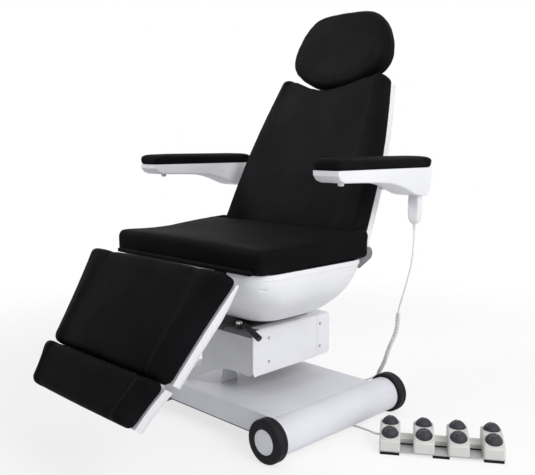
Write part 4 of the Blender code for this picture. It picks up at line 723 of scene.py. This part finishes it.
softened("lift_cover", "liftHousing", "lift_arm_body", "lift_white", liftWhite, 0.0016, change=squareCorner)
softened("lift_end_cap", "liftHousingCap", "lift_arm_body", "lift_white", liftWhite, 0.0016)
softened("lift_carrier", "liftCarrier", "carrier", "black_plastic", blackPlastic)
softened("swivel_lever", "lockLever", "lever", "black_plastic", blackPlastic, 0.0016)
softened("swivel_bolt", "lockBolt", "carrier", "bright_steel", brightSteel, 0.0008)
softened("lift_pedestal", "liftPedestal", "base", "base_paint", basePaint, change=slimFoot)

# the head lists shares of the radius, and heights
housingScrews = {"x": 0.110, "proud": 0.0002, "radius": 0.0042,
                 "places": ((-0.1025, 0.265), (-0.1020, 0.197), (0.1130, 0.2665), (0.1125, 0.1985)),
                 "head": ((0.0, -0.0012), (0.42, -0.0012), (0.46, 0.0002), (0.80, 0.0005), (0.96, 0.0002),
                          (1.0, -0.0006))}


def screwPiece(side, sign):
    look = housingScrews
    shape = bmesh.new()
    head = [(look["radius"] * share, height) for share, height in look["head"]]
    for y, z in look["places"]:
        spun(shape, head, (sign * (look["x"] + look["proud"]), y, z), (sign, 0, 0), 24)
    dress(pieceFrom(shape, "housingScrews" + side.title(), screwSteel, 40), "lift_arm_body", "dark_steel")


for side, sign in sides:
    screwPiece(side, sign)

# stations across the panel: x, lower edge, upper edge, and how far the foot sweeps out
footPanel = {"face": -0.160, "thick": 0.003, "bend": 0.200, "floor": 0.1043, "rows": 18, "bunch": 1.2, "between": 3,
             "stations": (
                 (-0.155, 0.1043, 0.118, 0.030), (-0.135, 0.1043, 0.140, 0.028), (-0.1055, 0.121, 0.158, 0.0225),
                 (-0.1015, 0.123, 0.272, 0.022), (-0.080, 0.136, 0.272, 0.018), (-0.047, 0.152, 0.272, 0.012),
                 (0.0, 0.163, 0.272, 0.006), (0.037, 0.165, 0.272, 0.002), (0.080, 0.162, 0.272, 0.0),
                 (0.0955, 0.164, 0.272, 0.0), (0.1055, 0.176, 0.272, 0.0))}


def panelColumn(x, low, high, flare):
    look = footPanel
    front = []
    for step in range(look["rows"] + 1):
        z = low + (high - low) * (step / look["rows"]) ** look["bunch"]
        sweep = max(0.0, (look["bend"] - z) / (look["bend"] - look["floor"])) ** 2
        front.append((x, look["face"] - flare * sweep, z))
    return front + [(x, y + look["thick"], z) for x, y, z in reversed(front)]


def between(stations, steps):
    # more stations, at even steps between those given
    for start, end in zip(stations, stations[1:]):
        for step in range(steps):
            share = step / steps
            yield [first + (second - first) * share for first, second in zip(start, end)]
    yield list(stations[-1])


shape = bmesh.new()
lofted(shape, [panelColumn(*station) for station in between(footPanel["stations"], footPanel["between"])], True)
# the foot panel is painted a darker grey than the lift housing's white: painted shade on the end facing away from
# the key lamp
dress(pieceFrom(shape, "liftFootPanel", liftWhitePaintedShade, 50), "base", "lift_white", "pedestal_shroud")
print("lift made")


# seat pan: a deep moulded bowl with a rim band, notches and shallow dimples
# levels down the bowl: share of its depth, share of its width, and how far front and rear draw in
panLook = {"half": 0.300, "front": -0.325, "rear": 0.098, "rim": 0.4877, "bottom": 0.3195, "corner": 0.070,
           "wall": 0.0038, "between": 5, "mouth": (0.070, -0.035, 0.065, 0.012),
           "levels": ((0.0, 1.0, 0.0, 0.0), (0.10, 1.0, 0.0, 0.0), (0.26, 0.975, 0.03, 0.02),
                      (0.48, 0.905, 0.10, 0.045), (0.70, 0.77, 0.22, 0.055), (0.88, 0.62, 0.33, 0.06),
                      (1.0, 0.47, 0.40, 0.065)),
           "step": 0.0026, "stepRing": 4, "stepFrom": 0.1, "stepOver": 0.45,
           "notches": (((-0.2787, 0.0, 0.456), (0.2787, 0.15, 0.54)),
                       ((-0.188, -0.345, 0.4402), (-0.136, -0.294, 0.508)),
                       ((0.136, -0.345, 0.4402), (0.188, -0.294, 0.508))),
           "dimple": (0.0155, 0.0070, 0.0030), "dimpleOut": 0.0013, "dimpleFrom": 0.05,
           "dimples": (((0.2822, -0.2883, 0.4491), (0.79, -0.56, -0.24)),
                       ((0.2950, 0.0327, 0.4595), (0.96, 0.14, -0.24)))}


def eased(levels, steps):
    # smooth curve through the levels
    padded = [levels[0]] + list(levels) + [levels[-1]]
    for index in range(len(levels) - 1):
        before, start, end, after = padded[index:index + 4]
        for step in range(steps):
            t = step / steps
            yield [0.5 * (2 * b + (c - a) * t + (2 * a - 5 * b + 4 * c - d) * t * t
                          + (3 * b - a - 3 * c + d) * t ** 3)
                   for a, b, c, d in zip(before, start, end, after)]
    yield list(levels[-1])


def roundedRing(halfX, low, high, corner, z, steps=10, straight=6):
    ring = []
    corners = ((halfX - corner, high - corner, 0), (corner - halfX, high - corner, 90),
               (corner - halfX, low + corner, 180), (halfX - corner, low + corner, 270))
    for x, y, start in corners:
        for step in range(steps + 1):
            angle = radians(start + 90 * step / steps)
            ring.append(Vector((x + corner * cos(angle), y + corner * sin(angle), z)))
    full = []
    for index, point in enumerate(ring):
        following = ring[(index + 1) % len(ring)]
        full.append(point)
        if (index + 1) % (steps + 1) == 0:
            full += [point.lerp(following, step / straight) for step in range(1, straight)]
    return full


def panRings(inset):
    look = panLook
    deep = look["rim"] - look["bottom"]
    long = look["rear"] - look["front"]
    rings = []
    for index, (drop, width, front, rear) in enumerate(eased(look["levels"], look["between"])):
        tucks = [0.0]
        if not inset:
            band = look["step"] * max(0.0, 1.0 - max(0.0, drop - look["stepFrom"]) / look["stepOver"])
            tucks = [0.0, band] if index == look["stepRing"] else [band if index > look["stepRing"] else 0.0]
        for tuck in tucks:
            draw = inset + tuck
            slant = tuck * (0.5 if index == look["stepRing"] else 0.0)
            rings.append(roundedRing(look["half"] * width - draw, look["front"] + long * front + draw,
                                     look["rear"] - long * rear - draw, look["corner"] - draw,
                                     look["rim"] - (deep - inset) * drop - slant))
    return rings


def boxCutter(low, high):
    shape = bmesh.new()
    bmesh.ops.create_cube(shape, size=1.0)
    size = Matrix.Diagonal((*[end - start for start, end in zip(low, high)], 1.0))
    middle = Matrix.Translation([(start + end) / 2 for start, end in zip(low, high)])
    bmesh.ops.transform(shape, matrix=middle @ size, verts=shape.verts)
    return pieceFrom(shape, "cutter", whiteMoulding)


def dimpleCutter(skin, place, aim):
    # a shallow oval hollow where a line from outside meets the skin, long axis level
    shape = bmesh.new()
    bmesh.ops.create_uvsphere(shape, u_segments=28, v_segments=18, radius=1.0)
    aim = Vector(aim).normalized()
    spot, facing = skin.ray_cast(Vector(place) + aim * panLook["dimpleFrom"], -aim)[:2]
    level = Vector((-facing.y, facing.x, 0)).normalized()
    upward = facing.cross(level)
    long, tall, deep = panLook["dimple"]
    turn = Matrix((level * long, upward * tall, facing * deep)).transposed().to_4x4()
    middle = Matrix.Translation(spot + facing * panLook["dimpleOut"])
    bmesh.ops.transform(shape, matrix=middle @ turn, verts=shape.verts)
    return pieceFrom(shape, "cutter", whiteMoulding)


def carved(piece, name, cutters):
    for cutter in cutters:
        cut = piece.modifiers.new("cut", "BOOLEAN")
        cut.operation = "DIFFERENCE"
        cut.solver = "EXACT"
        cut.object = cutter
    made = meshOf(piece, name)
    for cutter in cutters:
        bpy.data.objects.remove(cutter, do_unlink=True)
    return made


shape = bmesh.new()
outer = panRings(0.0)
inner = panRings(panLook["wall"])
holes = [roundedRing(*panLook["mouth"], panLook["bottom"] + rise) for rise in (0.0, panLook["wall"])]
lofted(shape, outer + holes + inner[::-1] + [outer[0]])
bmesh.ops.remove_doubles(shape, verts=shape.verts, dist=1e-6)
bmesh.ops.recalc_face_normals(shape, faces=shape.faces)
panSkin = BVHTree.FromBMesh(shape)
panBlank = pieceFrom(shape, "panBlank", whiteMoulding)
panCuts = [boxCutter(low, high) for low, high in panLook["notches"]]
for place, aim in panLook["dimples"]:
    for sign in (1, -1):
        panCuts.append(dimpleCutter(panSkin, (sign * place[0], *place[1:]), (sign * aim[0], *aim[1:])))
pan = carved(panBlank, "seatPan", panCuts)
pan.data.shade_smooth()
pan.data.set_sharp_from_angle(angle=radians(40))
dress(pan, "seat", "white_moulding", "seat_pan")
for side in ("left", "right"):
    softened("hinge_bracket_" + side, "hingeBracket" + side.title(), "seat", "bracket_grey", bracketGrey)
print("seat pan made")


# moulded shells behind the pads
softened("back_shell", "backShell", "back", "white_moulding", whiteMoulding, 0.0022)
legShellLook = {"high": -0.058, "low": -0.0905, "clear": 0.004, "thin": 0.40, "from": 0.014, "over": 0.095,
                "side": 0.2, "footSide": 0.15, "wide": 1.022}


def legShellForm(place):
    # the shell runs thin towards the knee, and its sides stand a little wider
    look = legShellLook
    step = place - legPlane["origin"]
    depth = step.dot(legPlane["outward"])
    share = max(0.0, min(1.0, (step.dot(legPlane["along"]) - look["from"]) / look["over"]))
    if look["low"] < depth < look["high"] - look["clear"]:
        thick = look["thin"] + (1 - look["thin"]) * sin(share * pi / 2)
        place += legPlane["outward"] * (depth - look["high"]) * (thick - 1)
    if abs(place.x) > look["side"]:
        place.x *= look["wide"]


def footShellForm(place):
    if abs(place.x) > legShellLook["footSide"]:
        place.x *= legShellLook["wide"]


softened("leg_shell", "legShell", "leg_rest", "white_moulding", whiteMoulding, 0.0022, change=legShellForm)
softened("foot_shell", "footShell", "foot_rest", "white_moulding", whiteMoulding, 0.0022, change=footShellForm)
softened("headrest_plate", "headrestPlate", "headrest", "black_plastic", blackPlastic)
softened("headrest_bar", "headrestBar", "headrest_slider", "dark_steel", darkSteel, 0.0008)
print("shells made")


# armrest shells: a slim front that deepens to a rounded heel, with a stud underneath
armLook = {"x": 0.360, "half": 0.042, "stud": (-0.103, 0.7055, 0.008, 0.010), "edge": 0.0055, "edgeBelow": 0.734,
           "outline": ((-0.162, 0.7347), (-0.161, 0.7227), (-0.151, 0.7107), (-0.135, 0.7047), (-0.060, 0.7030),
                       (0.010, 0.6996), (0.050, 0.6972), (0.085, 0.6905), (0.115, 0.6815), (0.142, 0.6712),
                       (0.163, 0.6632), (0.184, 0.6590), (0.216, 0.6590), (0.230, 0.670), (0.242, 0.7347))}


def armShell(side, sign):
    look = armLook
    shape = bmesh.new()
    middle = sign * look["x"]
    face = shape.faces.new([shape.verts.new((middle - look["half"], y, z)) for y, z in look["outline"]])
    grown = bmesh.ops.extrude_face_region(shape, geom=[face])["geom"]
    moved = [item for item in grown if isinstance(item, bmesh.types.BMVert)]
    bmesh.ops.translate(shape, vec=(2 * look["half"], 0, 0), verts=moved)
    rims = [edge for edge in shape.edges if abs(edge.verts[0].co.x - edge.verts[1].co.x) < 1e-6]
    rims = [edge for edge in rims if min(vert.co.z for vert in edge.verts) < look["edgeBelow"]]
    bmesh.ops.bevel(shape, geom=rims, offset=look["edge"], segments=5, profile=0.5, material=-1, affect="EDGES",
                    clamp_overlap=True)
    bmesh.ops.recalc_face_normals(shape, faces=shape.faces)
    y, z, radius, drop = look["stud"]
    knob = [(0.0, -drop), (radius * 0.7, -drop), (radius * 0.93, -drop + 0.0012), (radius, -drop + 0.003),
            (radius, 0.004)]
    spun(shape, knob, (middle, y, z), (0, 0, 1), 32)
    piece = pieceFrom(shape, "armShell" + side.title(), whiteMoulding, 30)
    dress(piece, "arm_" + side, "white_moulding", "arm_shell_" + side)


for side, sign in sides:
    armShell(side, sign)
print("arms made")


# handset under the near armrest, with its ribbed strain relief
# levels down the case: share of its length, of its width and of its depth
handsetLook = {"x": 0.370, "y": 0.206, "top": 0.6600, "shoulder": 0.6477, "bottom": 0.5797, "long": 0.068,
               "halfX": 0.019, "halfY": 0.011, "corner": 0.0075, "fade": 8, "between": 4,
               "levels": ((0.0, 0.86, 0.84), (0.06, 0.98, 0.96), (0.45, 1.0, 1.0), (0.80, 0.86, 0.94),
                          (0.94, 0.60, 0.70), (1.0, 0.36, 0.50))}
strainRelief = {"wide": 0.0050, "slim": 0.0034, "long": 0.016, "ribs": 6, "groove": 0.0009, "inside": 0.004}


def reliefProfile(low):
    look = strainRelief
    pitch = look["long"] / look["ribs"]
    profile = [(0.0, low + look["inside"]), (look["wide"], low + look["inside"])]
    for rib in range(look["ribs"]):
        share = rib / look["ribs"]
        radius = look["wide"] + (look["slim"] - look["wide"]) * share
        top = low - look["long"] * share
        profile += [(radius, top), (radius, top - pitch * 0.62), (radius - look["groove"], top - pitch * 0.66),
                    (radius - look["groove"], top - pitch * 0.96)]
    return profile + [(look["slim"], low - look["long"]), (0.0, low - look["long"])]


def handsetPiece():
    look = handsetLook
    shape = bmesh.new()
    rings = []
    for drop, wide, deep in eased(look["levels"], look["between"]):
        halfY = look["halfY"] * deep
        raised = (look["top"] - look["shoulder"]) * max(0.0, 1 - drop * look["fade"])
        ring = roundedRing(look["halfX"] * wide, -halfY, halfY, look["corner"] * min(wide, deep),
                           look["bottom"] + look["long"] * (1 - drop) + raised, 6, 3)
        rings.append([point + Vector((look["x"], look["y"], 0)) for point in ring])
    lofted(shape, rings, True)
    spun(shape, reliefProfile(look["bottom"]), (look["x"], look["y"], 0), (0, 0, 1), 28)
    dress(pieceFrom(shape, "handsetCase", whiteMoulding, 38), "arm_left", "white_moulding", "handset")


handsetPiece()
print("handset made")


# foot control: stepped boxes, a strip under them, rubber feet and eight domes
# a row of domes is its place along the depth, its height, and the rise and run of its slope
footControl = {"middle": (0.5275, 0.1169), "turn": 34.4, "pitch": 0.087, "front": (-0.0245, 0.048, 0.311, 0.9504),
               "rear": (0.0275, 0.057, 0.0, 1.0)}
footTurn = Matrix.Translation((*footControl["middle"], 0)) @ Matrix.Rotation(radians(footControl["turn"]), 4, "Z")
softened("pedal_housing", "footControlHousing", "base", "pedal_grey", pedalGrey, 0.0013)
softened("pedal_plate", "footControlStrip", "base", "pedal_metal", plateSteel, 0.0006)
softened("pedal_mat", "footControlFeet", "base", "rubber", blackRubber, 0.0010)
# the strip under the slots is dark rubber put there as painted shade
slotShadeStrip = {"half": 0.128, "front": -0.0020, "rear": 0.0090, "low": 0.0044, "high": 0.0103, "corner": 0.003,
               "edge": 0.0006}


def slotShadePiece():
    # a dark strip that closes the slots between strip and housing: painted shade inside the slots
    look = slotShadeStrip
    edge, low, high = look["edge"], look["low"], look["high"]
    middle = Vector((0, (look["front"] + look["rear"]) / 2, 0))
    outline = roundedRing(look["half"], look["front"], look["rear"], look["corner"], 0.0, 5, 2)
    rings = []
    for draw, z in ((edge, low), (0.0, low + edge), (0.0, high - edge), (edge, high)):
        drawn = [point - (point - middle).normalized() * draw for point in outline]
        rings.append([footTurn @ (point + Vector((0, 0, z))) for point in drawn])
    shape = bmesh.new()
    lofted(shape, rings, True)
    dress(pieceFrom(shape, "footControlSlotShade", blackRubber, 40), "base", "rubber")


slotShadePiece()

# a dome in its well, and its collar, whose points are given out from the dome's side
domeLook = {"radius": 0.0215, "height": 0.018, "well": 0.014, "travel": 0.004, "clear": 0.0003, "brow": 12,
            "skirt": 0.12, "steps": 16, "round": 40,
            "collar": ((0.0006, -0.001), (0.0006, 0.0008), (0.0010, 0.0012), (0.0026, 0.0012), (0.0034, 0.0004),
                       (0.0036, -0.001))}
# the raised sign on a dome: a chair in three strokes and an arrow, in shares of the dome's radius
signLook = {"rib": 0.0021, "rise": 0.0008, "sunk": 0.0006, "crest": 0.6, "steps": 4, "arrowMiddle": 0.36,
            "chair": (((-0.42, -0.10), (0.12, -0.10)), ((0.12, -0.10), (0.36, 0.42)),
                      ((-0.42, -0.10), (-0.60, -0.46))),
            "arrow": (((-0.20, 0.16), (-0.20, 0.56)), ((-0.20, 0.56), (-0.34, 0.40)),
                      ((-0.20, 0.56), (-0.06, 0.40)))}


def domeHeight(away):
    # the crown's height over the seat at a distance from the middle
    look = domeLook
    low = sin(radians(look["brow"]))
    share = min(1.0, away * cos(radians(look["brow"])) / look["radius"])
    crown = (1 - look["skirt"]) * (sqrt(max(0.0, 1 - share * share)) - low) / (1 - low)
    return look["height"] * (look["skirt"] + crown)


def stroke(shape, start, end, place):
    # a low rib that follows the crown
    look = signLook
    crest, rise, sunk = look["crest"], look["rise"], look["sunk"]
    start = Vector(start) * domeLook["radius"]
    end = Vector(end) * domeLook["radius"]
    side = Vector((start.y - end.y, end.x - start.x)).normalized() * look["rib"] / 2
    rings = []
    for step in range(look["steps"] + 1):
        middle = start.lerp(end, step / look["steps"])
        ring = []
        for way, lift in ((1, -sunk), (crest, rise), (-crest, rise), (-1, -sunk)):
            spot = middle + side * way
            ring.append(place @ Vector((*spot, domeHeight(spot.length) + lift)))
        rings.append(ring)
    lofted(shape, rings, True)


def domePiece(index, row):
    look = domeLook
    depth, height, rise, run = footControl[row]
    tilt = Matrix.Rotation(Vector((-rise, run)).angle_signed(Vector((0, 1))), 4, "X")
    place = footTurn @ Matrix.Translation(((index - 2.5) * footControl["pitch"], depth, height)) @ tilt
    upward = place.to_3x3() @ Vector((0, 0, 1))
    label = str(index) + row.title()
    button = "button_%d_%s" % (index, row)
    radius = look["radius"]
    low = look["travel"] + look["clear"] - look["well"]
    across = [radius * step / look["steps"] for step in range(look["steps"] + 1)]
    profile = [(away, domeHeight(away)) for away in across] + [(radius, low), (0.0, low)]
    shape = bmesh.new()
    spun(shape, profile, place.translation, upward, look["round"])
    dress(pieceFrom(shape, "footDome" + label, domeRubber, 34), button, "dome_grey", "pedal_%d_%s" % (index, row))
    sign = bmesh.new()
    for start, end in signLook["chair"]:
        stroke(sign, start, end, place)
    flip = -1 if row == "front" else 1
    half = signLook["arrowMiddle"]
    for start, end in signLook["arrow"]:
        stroke(sign, *[(x, half + (y - half) * flip) for x, y in (start, end)], place)
    # the raised sign is painted lighter than its dome: painted highlight
    dress(pieceFrom(sign, "domeSign" + label, signPaintedHighlight, 34), button, "dome_grey")
    collar = bmesh.new()
    ring = [(radius + out, height) for out, height in look["collar"]]
    spun(collar, ring, place.translation, upward, look["round"], True)
    dress(pieceFrom(collar, "domeCollar" + label, pedalGrey, 34), "base", "pedal_grey")


for index in range(1, 5):
    domePiece(index, "front")
    domePiece(index, "rear")
print("foot control made")


# finishes of the working parts that stay as packed
shownFinishes = {
    "base_chassis": darkSteel, "lift_shaft_upper": brightSteel, "lift_shaft_lower": brightSteel,
    "lift_arm": darkSteel, "lift_link": darkSteel, "lift_actuator": blackPlastic, "swivel_plate": blackPlastic,
    "seat_board": darkSteel, "back_actuator": blackPlastic, "leg_actuator": blackPlastic, "arm_shaft": brightSteel,
}
for name, finish in shownFinishes.items():
    nodes[name].data.materials.clear()
    nodes[name].data.materials.append(finish)


# floor, backdrop and studio light
studio = {"floorRadius": 9.0, "floorDrop": 0.0005, "floorNear": 0.9, "floorFar": 2.3, "floorGlow": 0.72,
          "floorTones": ((0.93, 0.93, 0.935), (0.95, 0.95, 0.955)), "dome": 0.50, "domeTone": (0.97, 0.98, 1.0, 1.0)}
plainWhite = (1.0, 1.0, 1.0, 1.0)

# place, target, size, power and spread
lampLooks = {
    "keyLamp": ((2.8, -0.4, 2.0), (0, -0.1, 0.45), 1.8, 54.0, 180.0),
    "fillLamp": ((-0.6, -3.0, 1.4), (0, 0, 0.5), 2.0, 2.0, 180.0),
    "sheenLamp": ((-1.2, -1.0, 2.0), (0, 0.32, 0.98), 0.8, 3.6, 52.0),
    "topLamp": ((0.2, 0.2, 3.4), (0, 0, 0.4), 2.4, 15.0, 180.0),
}


def paleFloor():
    look = studio
    shape = bmesh.new()
    bmesh.ops.create_circle(shape, cap_ends=True, segments=96, radius=look["floorRadius"])
    bmesh.ops.translate(shape, verts=shape.verts, vec=(0, 0, -look["floorDrop"]))
    paint, shader, spot = newFinish("paleFloor", Roughness=0.8, Specular_IOR_Level=0.1)
    tree = spot.tree
    away = spot.node("ShaderNodeVectorMath", {"operation": "LENGTH"}, {0: spot}, 1)
    feed(shader, "Base Color", spot.noise(3.0, 2.0).band(0.2, 0.8).tint(*look["floorTones"]))
    glow = spot.node("ShaderNodeEmission", None, {"Color": plainWhite, "Strength": 1.0})
    seen = spot.node("ShaderNodeLightPath")  # its first output is Is Camera Ray
    far = away.band(look["floorNear"], look["floorFar"])
    faded = (look["floorGlow"] + (1.0 - look["floorGlow"]) * far) * seen
    mixed = spot.node("ShaderNodeMixShader", None, {0: faded, 1: Wire(tree, shader.outputs[0]), 2: glow})
    tree.links.new(mixed.socket, tree.nodes["Material Output"].inputs["Surface"])
    pieceFrom(shape, "paleFloor", paint)


def studioWorld():
    world = bpy.data.worlds.new("studioWorld")
    world.use_nodes = True
    tree = world.node_tree
    lit = tree.nodes["Background"]
    lit.inputs["Color"].default_value = studio["domeTone"]
    lit.inputs["Strength"].default_value = studio["dome"]
    start = Wire(tree, lit.outputs[0])
    white = start.node("ShaderNodeBackground", None, {"Color": plainWhite, "Strength": 1.0})
    path = tree.nodes.new("ShaderNodeLightPath")
    seen = Wire(tree, path.outputs["Is Camera Ray"]) + Wire(tree, path.outputs["Is Glossy Ray"])
    seen = seen + Wire(tree, path.outputs["Is Transmission Ray"])
    mixed = start.node("ShaderNodeMixShader", None, {0: seen, 1: start, 2: white})
    tree.links.new(mixed.socket, tree.nodes["World Output"].inputs["Surface"])
    scene.world = world


def studioLamp(name, place, target, size, power, spread):
    lamp = bpy.data.lights.new(name, "AREA")
    lamp.shape = "DISK"
    lamp.size = size
    lamp.energy = power
    lamp.spread = radians(spread)
    holder = bpy.data.objects.new(name, lamp)
    holder.location = place
    holder.rotation_euler = (Vector(target) - Vector(place)).to_track_quat("-Z", "Y").to_euler()
    scene.collection.objects.link(holder)


paleFloor()
studioWorld()
for name, look in lampLooks.items():
    studioLamp(name, *look)
print("stage lit")
